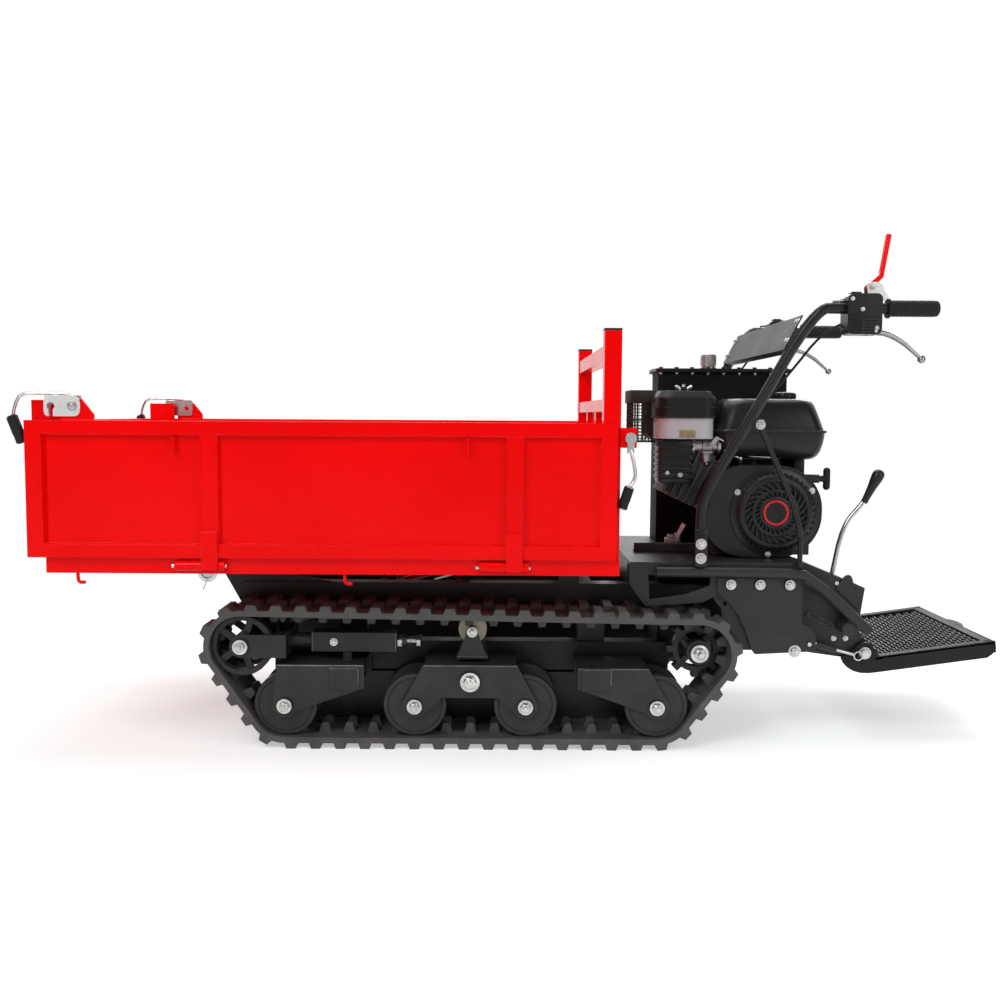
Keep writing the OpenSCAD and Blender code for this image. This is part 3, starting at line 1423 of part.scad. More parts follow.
module strut_tube() {
    color(powder_black) at_strut() difference() {
        union() {
            rod_y(10, [0, 0], -strut_half, strut_half);
            rod_x(strut_tube_r, [0, 0], 8, strut_tube_l);
        }
        rod_y(strut_pin_r + fit, [0, 0], -20, 20);
        rod_x(strut_rod_r + fit, [0, 0], 20, strut_tube_l + 1);
    }
}
module strut_rod() {
    color(chrome) at_strut() difference() {
        union() {
            rod_x(strut_rod_r, [0, 0], 24, strut_span - strut_eye_r + 3);
            rod_y(strut_eye_r, [strut_span, 0], -strut_half, strut_half);
        }
        rod_y(strut_eye_bore, [strut_span, 0], -20, 20);
    }
}

chassis_frame();
track_frames();
track_left();
track_right();
axle_bolts();
gearbox();
engine_block();
fan_housing();
recoil_cover();
fuel_tank();
air_cleaner_bowl();
air_cleaner_lid();
muffler();
muffler_guard();
hydraulic_tank();
tank_lid();
filler_cap();
handlebar();
handle_grips();
control_pods();
console_panel();
rear_frame();
control_cables();
bed_floor();
headboard();
post_caps();
hinge_pins();
side_gate_left();
side_gate_right();
front_gate();
latch_front_left();
latch_front_right();
latch_rear_left();
latch_rear_right();
lift_cylinder();
lift_rod();
sprocket();  // sprocket_left
other_side() sprocket();  // sprocket_right
idler();  // idler_left
other_side() idler();  // idler_right
roller(front_roller);  // roller_front_left
other_side() roller(front_roller);  // roller_front_right
roller(bogie_roller(-1));  // roller_bogie_front_left
other_side() roller(bogie_roller(-1));  // roller_bogie_front_right
roller(bogie_roller(1));  // roller_bogie_rear_left
other_side() roller(bogie_roller(1));  // roller_bogie_rear_right
roller(rear_roller);  // roller_rear_left
other_side() roller(rear_roller);  // roller_rear_right
carrier();  // carrier_left
other_side() carrier();  // carrier_right
bogie();  // bogie_left
other_side() bogie();  // bogie_right
steering_lever_left();
steering_lever_right();
drive_lever();
shift_lever();
platform();
strut_tube();
strut_rod();
starter_handle();
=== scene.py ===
"""Looks of a tracked power carrier with a red tipping bed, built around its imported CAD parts."""
import math

import bmesh
import bpy
from mathutils import Matrix, Vector


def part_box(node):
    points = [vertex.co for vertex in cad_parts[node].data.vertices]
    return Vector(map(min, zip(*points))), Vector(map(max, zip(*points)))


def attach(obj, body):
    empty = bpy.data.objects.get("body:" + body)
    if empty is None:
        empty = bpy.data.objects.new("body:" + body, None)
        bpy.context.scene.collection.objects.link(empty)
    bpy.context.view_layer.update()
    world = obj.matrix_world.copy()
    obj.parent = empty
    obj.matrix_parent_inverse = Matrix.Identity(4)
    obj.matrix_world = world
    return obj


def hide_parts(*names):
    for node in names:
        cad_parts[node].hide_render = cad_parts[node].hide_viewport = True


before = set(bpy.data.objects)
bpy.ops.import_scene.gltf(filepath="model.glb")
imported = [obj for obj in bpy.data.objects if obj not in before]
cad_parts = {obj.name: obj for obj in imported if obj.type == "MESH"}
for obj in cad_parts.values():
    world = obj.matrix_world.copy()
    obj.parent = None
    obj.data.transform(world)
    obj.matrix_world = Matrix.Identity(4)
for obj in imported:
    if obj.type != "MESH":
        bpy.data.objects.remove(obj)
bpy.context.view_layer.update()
scene = bpy.context.scene
MM = 0.001
SIDES = (("left", -1), ("right", 1))
ALONG = (1, 0, 0)
ACROSS = (0, 1, 0)
UP = (0, 0, 1)
OUT_LEFT = (0, -1, 0)


def at(x, y, z):
    """A place given in millimetres, as Blender's metres."""
    return Vector((x, y, z)) * MM


def mesh_of(name, bm):
    """Turns a bmesh into a mesh and frees it."""
    mesh = bpy.data.meshes.new(name)
    bm.to_mesh(mesh)
    bm.free()
    return mesh


# Camera at the photograph's viewing angle
CAMERA_PLACE = at(-60, -2900, 816)
CAMERA_PITCH = math.radians(4.59)
CAMERA_ROLL = math.radians(0.35)
CAMERA_LENS = 38.56
SENSOR_WIDTH = 36
camera_data = bpy.data.cameras.new("camera")
camera_data.lens = CAMERA_LENS
camera_data.sensor_width = SENSOR_WIDTH
camera = bpy.data.objects.new("camera", camera_data)
scene.collection.objects.link(camera)
turn = Matrix.Rotation(math.radians(90) - CAMERA_PITCH, 4, "X") @ Matrix.Rotation(CAMERA_ROLL, 4, "Z")
camera.matrix_world = Matrix.Translation(CAMERA_PLACE) @ turn
scene.camera = camera
scene.view_settings.view_transform = "Standard"

# Sockets of the mix node when it mixes colours
MIX_SHARE, MIX_A, MIX_B, MIX_RESULT = 0, 6, 7, 2
SOCKET_KINDS = {float: "NodeSocketFloat", int: "NodeSocketInt", tuple: "NodeSocketColor"}
DUST_COLOR = (0.25, 0.22, 0.19)
DUST_TOP = 0.4
BUMP_DEPTH = 0.0004


# Node helpers
def node_group(name, kind, inputs, outputs):
    """A group of nodes. An input is given by its kind, or by a first value that tells its kind."""
    tree = bpy.data.node_groups.new(name, kind)
    for label, value in inputs.items():
        if isinstance(value, str):
            tree.interface.new_socket(label, in_out="INPUT", socket_type=value)
        else:
            socket = tree.interface.new_socket(label, in_out="INPUT", socket_type=SOCKET_KINDS[type(value)])
            socket.default_value = value
    for label, value in outputs.items():
        tree.interface.new_socket(label, in_out="OUTPUT", socket_type=value)
    return tree, tree.nodes.new("NodeGroupInput").outputs, tree.nodes.new("NodeGroupOutput")


def wire(tree, node, inputs):
    """Links outputs to a node's inputs, or sets the inputs to values. A colour is given without its alpha."""
    for key, value in inputs.items():
        socket = node.inputs[key]
        if isinstance(value, bpy.types.NodeSocket):
            tree.links.new(value, socket)
        else:
            socket.default_value = (*value, 1) if socket.type == "RGBA" else value


def add_node(tree, kind, inputs, **settings):
    node = tree.nodes.new(kind)
    for label, value in settings.items():
        setattr(node, label, value)
    wire(tree, node, inputs)
    return node


def output_of(tree, kind, label):
    """One output of a node that has nothing to set."""
    return tree.nodes.new(kind).outputs[label]


def spaced(values):
    """Labels of sockets with their spaces, from the names of arguments."""
    return {label.replace("_", " "): value for label, value in values.items()}


def math_node(tree, kind, *values, clamp=True):
    """A calculation. Its result is held between 0 and 1 unless clamp is off."""
    inputs = dict(enumerate(values))
    return add_node(tree, "ShaderNodeMath", inputs, operation=kind, use_clamp=clamp).outputs[0]


def noise(tree, scale, detail=3.0):
    inputs = {"Vector": output_of(tree, "ShaderNodeTexCoord", "Object"), "Scale": scale, "Detail": detail}
    return add_node(tree, "ShaderNodeTexNoise", inputs).outputs["Fac"]


def ramp(tree, value, low, high, out_low=0.0, out_high=1.0):
    inputs = {"Value": value, "From Min": low, "From Max": high, "To Min": out_low, "To Max": out_high}
    return add_node(tree, "ShaderNodeMapRange", inputs).outputs["Result"]


def mix_color(tree, share, a, b):
    inputs = {MIX_SHARE: share, MIX_A: a, MIX_B: b}
    return add_node(tree, "ShaderNodeMix", inputs, data_type="RGBA").outputs[MIX_RESULT]


def part_of(tree, vector, axis):
    """One coordinate of a vector."""
    return add_node(tree, "ShaderNodeSeparateXYZ", {0: vector}).outputs[axis]


# Shader groups that several finishes share
def make_soft_edges():
    """Rounds sharp edges in the shading and marks edges where a finish rubs thin. They are lightened as wear,
    and on the red paint partly as a painted highlight.
    """
    tree, enter, leave = node_group("soft_edges", "ShaderNodeTree", {"Radius": 0.002, "Breakup": 60.0},
                                    {"Normal": "NodeSocketVector", "Wear And Sheen": "NodeSocketFloat"})
    bevel = add_node(tree, "ShaderNodeBevel", {"Radius": enter["Radius"]}, samples=6).outputs[0]
    flat = output_of(tree, "ShaderNodeNewGeometry", "Normal")
    dot = add_node(tree, "ShaderNodeVectorMath", {0: bevel, 1: flat}, operation="DOT_PRODUCT")
    edge = ramp(tree, dot.outputs["Value"], 0.98, 0.82)
    patches = ramp(tree, noise(tree, enter["Breakup"]), 0.45, 0.65)
    wire(tree, leave, {"Normal": bevel, "Wear And Sheen": math_node(tree, "MULTIPLY", edge, patches)})
    return tree


def make_mottle():
    """Slow changes of tone over a surface and a fine grain for its gloss."""
    tree, enter, leave = node_group(
        "mottle", "ShaderNodeTree",
        {"Color": (0.5, 0.5, 0.5, 1), "Deep": (0.4, 0.4, 0.4, 1), "Scale": 6.0, "Grain": 400.0,
         "Gloss Low": 0.3, "Gloss High": 0.4},
        {"Color": "NodeSocketColor", "Roughness": "NodeSocketFloat", "Height": "NodeSocketFloat"})
    slow = noise(tree, enter["Scale"], 5.0)
    tone = mix_color(tree, ramp(tree, slow, 0.35, 0.65), enter["Color"], enter["Deep"])
    gloss = ramp(tree, slow, 0.3, 0.7, enter["Gloss Low"], enter["Gloss High"])
    wire(tree, leave, {"Color": tone, "Roughness": gloss, "Height": noise(tree, enter["Grain"], 2.0)})
    return tree


def make_dust():
    """Pale dust that gathers low down and in a broken pattern."""
    tree, enter, leave = node_group("dust", "ShaderNodeTree", {"Color": (0.1, 0.1, 0.1, 1), "Amount": 0.3},
                                    {"Color": "NodeSocketColor"})
    height = part_of(tree, output_of(tree, "ShaderNodeTexCoord", "Object"), "Z")
    low = ramp(tree, height, DUST_TOP, 0.0)
    cloud = ramp(tree, noise(tree, 14.0, 6.0), 0.42, 0.72)
    mask = math_node(tree, "MULTIPLY", math_node(tree, "MULTIPLY", low, cloud), enter["Amount"])
    wire(tree, leave, {"Color": mix_color(tree, mask, enter["Color"], DUST_COLOR)})
    return tree


SOFT_EDGES = make_soft_edges()
MOTTLE = make_mottle()
DUST = make_dust()


def place_group(tree, group, **inputs):
    return add_node(tree, "ShaderNodeGroup", spaced(inputs), node_tree=group).outputs


def new_material(name):
    """A material, its node tree and its shader."""
    mat = bpy.data.materials.new(name)
    mat.use_nodes = True
    return mat, mat.node_tree, mat.node_tree.nodes["Principled BSDF"]


def finish(name, color, deep, gloss, grain=400.0, scale=6.0, bump=0.0, edge=0.0015, edge_wear_and_sheen=None, dust=0.0,
           breakup=60.0, **inputs):
    """A finish with slow tone changes, grain, rounded edges, lighter rubbed edges (wear, and on the red paint
    partly a painted highlight) and dust.
    """
    mat, tree, shader = new_material(name)
    tone = place_group(tree, MOTTLE, Color=color, Deep=deep, Scale=scale, Grain=grain, Gloss_Low=gloss[0],
                       Gloss_High=gloss[1])
    soft = place_group(tree, SOFT_EDGES, Radius=edge, Breakup=breakup)
    color_out, normal_out = tone["Color"], soft["Normal"]
    if edge_wear_and_sheen is not None:
        color_out = mix_color(tree, soft["Wear And Sheen"], color_out, edge_wear_and_sheen)
    if dust > 0:
        color_out = place_group(tree, DUST, Color=color_out, Amount=dust)["Color"]
    if bump > 0:
        relief = {"Strength": bump, "Distance": BUMP_DEPTH, "Height": tone["Height"], "Normal": normal_out}
        normal_out = add_node(tree, "ShaderNodeBump", relief).outputs[0]
    wire(tree, shader, {"Base Color": color_out, "Roughness": tone["Roughness"], "Normal": normal_out})
    wire(tree, shader, spaced(inputs))
    return mat


# The red paint's lighter edge colour is partly wear and partly a painted highlight along its edges.
RED_PAINT = finish("red_paint", (0.93, 0.0004, 0.001), (0.84, 0.0003, 0.0008), (0.15, 0.24), grain=900.0,
                   scale=3.0, bump=0.04, edge=0.003, edge_wear_and_sheen=(0.98, 0.030, 0.034), Specular_IOR_Level=0.12)
BLACK_POWDER = finish("black_powder", (0.019, 0.019, 0.020), (0.027, 0.027, 0.028), (0.34, 0.48),
                      grain=1400.0, bump=0.25, edge=0.002, edge_wear_and_sheen=(0.07, 0.07, 0.07), dust=0.08,
                      Specular_IOR_Level=0.3)
STEP_BLACK = finish("step_black", (0.010, 0.010, 0.010), (0.016, 0.016, 0.016), (0.40, 0.56), grain=1200.0,
                    bump=0.2, edge=0.001, edge_wear_and_sheen=(0.04, 0.04, 0.04), Specular_IOR_Level=0.2)
BLACK_GLOSS = finish("black_cover", (0.009, 0.009, 0.0095), (0.014, 0.014, 0.0145), (0.26, 0.38), grain=900.0,
                     bump=0.08, edge=0.003, edge_wear_and_sheen=(0.035, 0.035, 0.036), Specular_IOR_Level=0.3)
TANK_BLACK = finish("tank_black", (0.009, 0.009, 0.0095), (0.014, 0.014, 0.0145), (0.48, 0.60), grain=900.0,
                    bump=0.08, edge=0.003, edge_wear_and_sheen=(0.035, 0.035, 0.036), Specular_IOR_Level=0.04)
# Light grey on thin rods along folds: a painted highlight where the folds catch the light.
PAINTED_FOLD_HIGHLIGHT = finish("painted_fold_highlight", (0.20, 0.20, 0.20), (0.10, 0.10, 0.10), (0.26, 0.40), grain=900.0,
                     scale=30.0, edge=0.0006, Metallic=0.5)
HOT_BLACK = finish("hot_black", (0.014, 0.013, 0.012), (0.028, 0.025, 0.022), (0.55, 0.75), grain=700.0,
                   bump=0.3, edge=0.0015, edge_wear_and_sheen=(0.08, 0.065, 0.055))
TRACK_RUBBER = finish("track_rubber", (0.056, 0.056, 0.056), (0.078, 0.077, 0.076), (0.55, 0.75), grain=500.0,
                      scale=18.0, bump=0.5, edge=0.003, edge_wear_and_sheen=(0.09, 0.087, 0.085), dust=0.26, breakup=40.0)
BLACK_RUBBER = finish("black_rubber", (0.009, 0.009, 0.009), (0.014, 0.014, 0.014), (0.48, 0.62), grain=900.0,
                      bump=0.3, edge=0.0015, edge_wear_and_sheen=(0.03, 0.03, 0.03), Specular_IOR_Level=0.2)
# Weld beads are a lighter grey metal than the frame: a painted highlight on the beads.
WELD_BEAD = finish("weld_bead", (0.105, 0.105, 0.108), (0.055, 0.055, 0.057), (0.26, 0.40), grain=900.0,
                   scale=60.0, bump=0.3, edge=0.001, Metallic=0.4)
ZINC = finish("zinc_plate", (0.66, 0.66, 0.65), (0.52, 0.52, 0.50), (0.24, 0.40), grain=700.0, scale=40.0,
              bump=0.08, edge=0.001, Metallic=1.0)
BRIGHT_ZINC = finish("bright_zinc", (0.90, 0.89, 0.89), (0.80, 0.79, 0.78), (0.30, 0.46), grain=700.0,
                     scale=40.0, bump=0.06, edge=0.001, Metallic=0.8)
CHROME = finish("chrome_plate", (0.50, 0.50, 0.51), (0.42, 0.42, 0.43), (0.16, 0.26), grain=800.0, scale=20.0,
                edge=0.0006, Metallic=1.0)
LEVER_ALLOY = finish("lever_alloy", (0.34, 0.34, 0.34), (0.25, 0.25, 0.25), (0.20, 0.32), grain=800.0,
                     scale=24.0, edge=0.0008, Metallic=1.0)
ALLOY = finish("bright_alloy", (0.50, 0.50, 0.49), (0.36, 0.36, 0.35), (0.34, 0.50), grain=500.0, scale=30.0,
               bump=0.3, edge=0.0012, Metallic=1.0)
CAST = finish("cast_alloy", (0.060, 0.061, 0.063), (0.040, 0.040, 0.042), (0.42, 0.58), grain=700.0,
              scale=14.0, bump=0.5, edge=0.002, edge_wear_and_sheen=(0.20, 0.20, 0.20), Metallic=0.55)
NYLON = finish("cream_nylon", (0.62, 0.57, 0.44), (0.50, 0.45, 0.33), (0.38, 0.55), grain=300.0, scale=20.0,
               bump=0.1, edge=0.002, dust=0.2)
BOWL = finish("oil_bowl", (0.74, 0.72, 0.75), (0.62, 0.60, 0.63), (0.12, 0.22), grain=200.0, scale=9.0,
              edge=0.003, Transmission_Weight=0.3, IOR=1.3)
FILTER_TAN = finish("filter_tan", (0.34, 0.27, 0.17), (0.25, 0.19, 0.12), (0.6, 0.8), grain=260.0, scale=30.0,
                    bump=0.5)
BADGE_RED = finish("badge_red", (0.62, 0.010, 0.014), (0.52, 0.008, 0.010), (0.2, 0.3), grain=600.0,
                   edge=0.001)

# Every CAD node's finish. A node that isn't named here is black powder coat
NODE_FINISH = {
    RED_PAINT: ["bed_floor", "headboard", "side_gate_left", "side_gate_right", "front_gate", "drive_lever"],
    TRACK_RUBBER: ["track_left", "track_right"],
    BLACK_RUBBER: ["post_caps", "handle_grips", "control_cables", "starter_handle"],
    ZINC: ["axle_bolts", "hinge_pins", "latch_front_left", "latch_front_right", "latch_rear_left",
           "latch_rear_right", "filler_cap"],
    CHROME: ["lift_rod", "strut_rod", "steering_lever_left", "steering_lever_right"],
    CAST: ["gearbox", "engine_block"],
    NYLON: ["carrier_left", "carrier_right"],
    BOWL: ["air_cleaner_bowl"],
    BLACK_GLOSS: ["fuel_tank", "fan_housing", "recoil_cover", "air_cleaner_lid", "control_pods", "tank_lid"],
    TANK_BLACK: ["hydraulic_tank"],
    HOT_BLACK: ["muffler", "muffler_guard"],
}
finish_of = {name: mat for mat, names in NODE_FINISH.items() for name in names}
for name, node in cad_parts.items():
    node.data.materials.clear()
    node.data.materials.append(finish_of.get(name, BLACK_POWDER))

# Floor, backdrop light and lamps, in metres
FLOOR_HALF = 30
# The floor's colour is tinted slightly cyan to cancel the pink light bounced from the red bed: a painted
# correction of the light.
FLOOR_COLOR_COUNTER_TINTED = (0.79, 0.82, 0.82)
FLOOR_LIFT = 0.44
FLOOR_FADE = (1.5, 3.2)
ROOM_LIGHT = 0.32
ROOM_GLOSS = 0.14
# Name, place, aim, size and power
LAMPS = (("key", (-2.2, -3.6, 3.6), (0, 0, 0.5), 2.6, 105),
         ("fill", (2.8, -3.0, 2.2), (0.2, 0, 0.5), 2.4, 45),
         ("top", (0.2, 0.6, 4.2), (0, 0, 0.4), 3.4, 85),
         ("back", (1.6, 3.6, 2.8), (0, 0, 0.6), 2.4, 60))


def seen_rays(tree):
    """The light paths of a node tree, and whether a ray comes from a mirror or through glass."""
    path = tree.nodes.new("ShaderNodeLightPath").outputs
    return path, math_node(tree, "MAXIMUM", path["Is Glossy Ray"], path["Is Transmission Ray"])


def make_floor():
    """A pale floor that takes shadows near the machine and turns to plain white far from it."""
    bm = bmesh.new()
    bmesh.ops.create_grid(bm, x_segments=4, y_segments=4, size=FLOOR_HALF)
    mesh = mesh_of("floor", bm)
    floor = bpy.data.objects.new("floor", mesh)
    scene.collection.objects.link(floor)
    mat, tree, shader = new_material("pale_floor")
    wire(tree, shader, {"Base Color": FLOOR_COLOR_COUNTER_TINTED, "Roughness": 0.9, "Specular IOR Level": 0.1})
    path, mirrored = seen_rays(tree)
    seen = math_node(tree, "MAXIMUM", path["Is Camera Ray"], mirrored)
    place = output_of(tree, "ShaderNodeNewGeometry", "Position")
    reach = add_node(tree, "ShaderNodeVectorMath", {0: place}, operation="LENGTH").outputs["Value"]
    far = math_node(tree, "MULTIPLY", seen, ramp(tree, reach, *FLOOR_FADE))
    lift = add_node(tree, "ShaderNodeEmission", {"Strength": math_node(tree, "MULTIPLY", seen, FLOOR_LIFT)})
    near = add_node(tree, "ShaderNodeAddShader", {0: shader.outputs[0], 1: lift.outputs[0]})
    white = output_of(tree, "ShaderNodeEmission", 0)
    blend = add_node(tree, "ShaderNodeMixShader", {0: far, 1: near.outputs[0], 2: white})
    wire(tree, tree.nodes["Material Output"], {"Surface": blend.outputs[0]})
    mesh.materials.append(mat)


def make_world():
    """White backdrop behind the machine and a dim room in front of it. The camera sees white all round."""
    world = bpy.data.worlds.new("studio")
    scene.world = world
    world.use_nodes = True
    tree = world.node_tree
    path, mirrored = seen_rays(tree)
    backdrop = ramp(tree, part_of(tree, output_of(tree, "ShaderNodeTexCoord", "Generated"), "Y"), 0.05, 0.35)
    mirrored = math_node(tree, "MULTIPLY", mirrored, backdrop)
    seen = math_node(tree, "MAXIMUM", path["Is Camera Ray"], mirrored)
    room = ramp(tree, path["Is Glossy Ray"], 0.0, 1.0, ROOM_LIGHT, ROOM_GLOSS)
    strength = math_node(tree, "MAXIMUM", seen, room)
    wire(tree, tree.nodes["Background"], {"Color": (1, 1, 1), "Strength": strength})


def make_lamp(name, place, aim, size, power):
    lamp = bpy.data.lights.new(name, "AREA")
    lamp.shape = "DISK"
    lamp.size = size
    lamp.energy = power
    lamp_object = bpy.data.objects.new(name, lamp)
    lamp_object.location = place
    lamp_object.rotation_euler = (Vector(aim) - Vector(place)).to_track_quat("-Z", "Y").to_euler()
    scene.collection.objects.link(lamp_object)


make_floor()
make_world()
for lamp in LAMPS:
    make_lamp(*lamp)


# Mesh helpers. Their places and sizes are in millimetres
BEVEL_STEPS = 2
CORNER_STEPS = 10
MERGE_GAP = 1e-6


def settle(name, mesh, body, smooth):
    """Makes an object of a finished mesh, shades it and lets it ride a body."""
    piece = bpy.data.objects.new(name, mesh)
    scene.collection.objects.link(piece)
    mesh.shade_smooth()
    mesh.set_sharp_from_angle(angle=math.radians(smooth))
    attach(piece, body)
    return piece


def add_piece(name, bm, body, mat, smooth=35.0):
    """Turns a bmesh into a finished piece that rides a body."""
    bmesh.ops.remove_doubles(bm, verts=bm.verts, dist=MERGE_GAP)
    bmesh.ops.recalc_face_normals(bm, faces=bm.faces)
    mesh = mesh_of(name, bm)
    mesh.materials.append(mat)
    return settle(name, mesh, body, smooth)


def circle(count):
    """Cosine and sine at even steps round a full turn."""
    angles = [2 * math.pi * k / count for k in range(count)]
    return [(math.cos(a), math.sin(a)) for a in angles]


def join_loops(bm, loops, caps=True):
    """Skins loops that have the same number of verts, each to the next one."""
    for low, high in zip(loops, loops[1:]):
        for k in range(len(low)):
            j = (k + 1) % len(low)
            bm.faces.new((low[k], low[j], high[j], high[k]))
    if caps:
        bm.faces.new(loops[0])
        bm.faces.new(loops[-1])


def lathe(bm, profile, origin, axis, steps):
    """Turns a profile of (radius, height) round an axis through an origin."""
    up = Vector(axis).normalized()
    side = up.orthogonal().normalized()
    other = up.cross(side)
    rings = []
    for radius, height in profile:
        arms = [c * side + s * other for c, s in circle(1 if radius == 0 else steps)]
        rings.append([bm.verts.new(at(*origin) + (up * height + arm * radius) * MM) for arm in arms])
    for low, high in zip(rings, rings[1:]):
        for k in range(steps):
            j = k + 1
            quad = [low[k % len(low)], low[j % len(low)], high[j % len(high)], high[k % len(high)]]
            corners = list(dict.fromkeys(quad))
            if len(corners) > 2:
                bm.faces.new(corners)


def soft_box(bm, corner, opposite, radius):
    """A box between two opposite corners with rounded edges."""
    spans = [sorted(pair) for pair in zip(corner, opposite)]
    low = Vector([span[0] for span in spans])
    high = Vector([span[1] for span in spans])
    made = bmesh.ops.create_cube(bm, size=1.0)["verts"]
    bmesh.ops.scale(bm, vec=(high - low) * MM, verts=made)
    bmesh.ops.translate(bm, vec=(high + low) / 2 * MM, verts=made)
    edges = list(dict.fromkeys(e for v in made for e in v.link_edges))
    bmesh.ops.bevel(bm, geom=edges, offset=radius * MM, segments=BEVEL_STEPS, profile=0.5, affect="EDGES")


def ball(bm, place, radius):
    made = bmesh.ops.create_uvsphere(bm, u_segments=20, v_segments=14, radius=radius * MM)["verts"]
    bmesh.ops.translate(bm, vec=at(*place), verts=made)


def smooth_route(points, rounds=2):
    """Cuts the corners of a route, the same way as the solids' bent bars."""
    points = [Vector(p) for p in points]
    for _ in range(rounds):
        inner = []
        for a, b in zip(points, points[1:]):
            inner += [a * 0.75 + b * 0.25, a * 0.25 + b * 0.75]
        points = [points[0], *inner, points[-1]]
    return points


def sweep(bm, points, radius, sides, squash=1.0):
    """A round or oval bar along a route. radius may be one number or one for each point."""
    points = [Vector(p) for p in points]
    radii = radius if isinstance(radius, list) else [radius] * len(points)
    side = Vector(ACROSS)
    rings = []
    for i, p in enumerate(points):
        course = (points[min(i + 1, len(points) - 1)] - points[max(i - 1, 0)]).normalized()
        if abs(course.dot(side)) > 0.95:
            side = Vector(ALONG)
        u = course.cross(side).normalized()
        v = u.cross(course)
        rings.append([bm.verts.new((p + radii[i] * (c * squash * u + s * v)) * MM) for c, s in circle(sides)])
    join_loops(bm, rings)


def rounded_loop(bm, low, high, radius, z):
    """Verts round a rectangle with rounded corners at one height."""
    loop = []
    corners = ((high[0] - radius, high[1] - radius, 0), (low[0] + radius, high[1] - radius, 90),
               (low[0] + radius, low[1] + radius, 180), (high[0] - radius, low[1] + radius, 270))
    for cx, cy, start in corners:
        for k in range(CORNER_STEPS + 1):
            a = math.radians(start + 90 * k / CORNER_STEPS)
            loop.append(bm.verts.new(at(cx + radius * math.cos(a), cy + radius * math.sin(a), z)))
    return loop


def rounded_band(bm, low, high, radius, z0, z1):
    """A band round a rectangle with rounded corners, softened at its outer edges."""
    thickness, soft = 4.0, 0.8
    sections = ((thickness, z0), (soft, z0), (0, z0 + soft), (0, z1 - soft), (soft, z1), (thickness, z1))
    loops = [rounded_loop(bm, (low[0] + inset, low[1] + inset), (high[0] - inset, high[1] - inset),
                          radius - inset, z) for inset, z in sections]
    join_loops(bm, [*loops, loops[0]], caps=False)


def sheet_part(bm, outline, y0, y1, holes=()):
    """A flat sheet of (x, z) points between two Y places, with holes."""
    rims = []
    for y in (y0, y1):
        rows = [[bm.verts.new(at(x, y, z)) for x, z in loop] for loop in (outline, *holes)]
        edges = [bm.edges.new((row[k], row[(k + 1) % len(row)])) for row in rows for k in range(len(row))]
        bmesh.ops.triangle_fill(bm, use_beauty=True, edges=edges)
        rims.append(rows)
    for rim_pair in zip(*rims):
        join_loops(bm, rim_pair, caps=False)


def box_piece(name, boxes, mat, smooth=35.0):
    """A piece of the main frame made of boxes, each given by its corners and its edge radius."""
    bm = bmesh.new()
    for box in boxes:
        soft_box(bm, *box)
    add_piece(name, bm, "root", mat, smooth)


def turned_piece(name, turnings, mat, smooth, body="root"):
    """A piece made of turned shapes, each given by its profile, origin, axis and steps."""
    bm = bmesh.new()
    for turning in turnings:
        lathe(bm, *turning)
    return add_piece(name, bm, body, mat, smooth)


# Geometry Nodes trees for what repeats
def geometry_tree(name, inputs):
    inputs = {"Geometry": "NodeSocketGeometry", **inputs, "Finish": "NodeSocketMaterial"}
    return node_group(name, "GeometryNodeTree", inputs, {"Geometry": "NodeSocketGeometry"})


def named_attribute(tree, name, kind):
    node = add_node(tree, "GeometryNodeInputNamedAttribute", {"Name": name}, data_type=kind)
    return next(o for o in node.outputs if o.enabled and o.name == "Attribute")


def maths(tree, kind, *values):
    """A calculation whose result isn't held between 0 and 1."""
    return math_node(tree, kind, *values, clamp=False)


def index_of(tree):
    return output_of(tree, "GeometryNodeInputIndex", 0)


def vector_of(tree, **parts):
    return add_node(tree, "ShaderNodeCombineXYZ", parts).outputs[0]


def line_of(tree, count, step):
    return add_node(tree, "GeometryNodeMeshLine", {"Count": count, "Offset": step}).outputs[0]


def copies(tree, points, shape, **inputs):
    """Sets a copy of a shape at every point."""
    inputs = {"Points": points, "Instance": shape, **inputs}
    return add_node(tree, "GeometryNodeInstanceOnPoints", inputs).outputs[0]


def send_out(tree, shape, enter, leave):
    """Makes copies into plain mesh, gives it the tree's finish and sends it out."""
    real = add_node(tree, "GeometryNodeRealizeInstances", {0: shape}).outputs[0]
    coat = add_node(tree, "GeometryNodeSetMaterial", {"Geometry": real, "Material": enter["Finish"]})
    wire(tree, leave, {0: coat.outputs[0]})


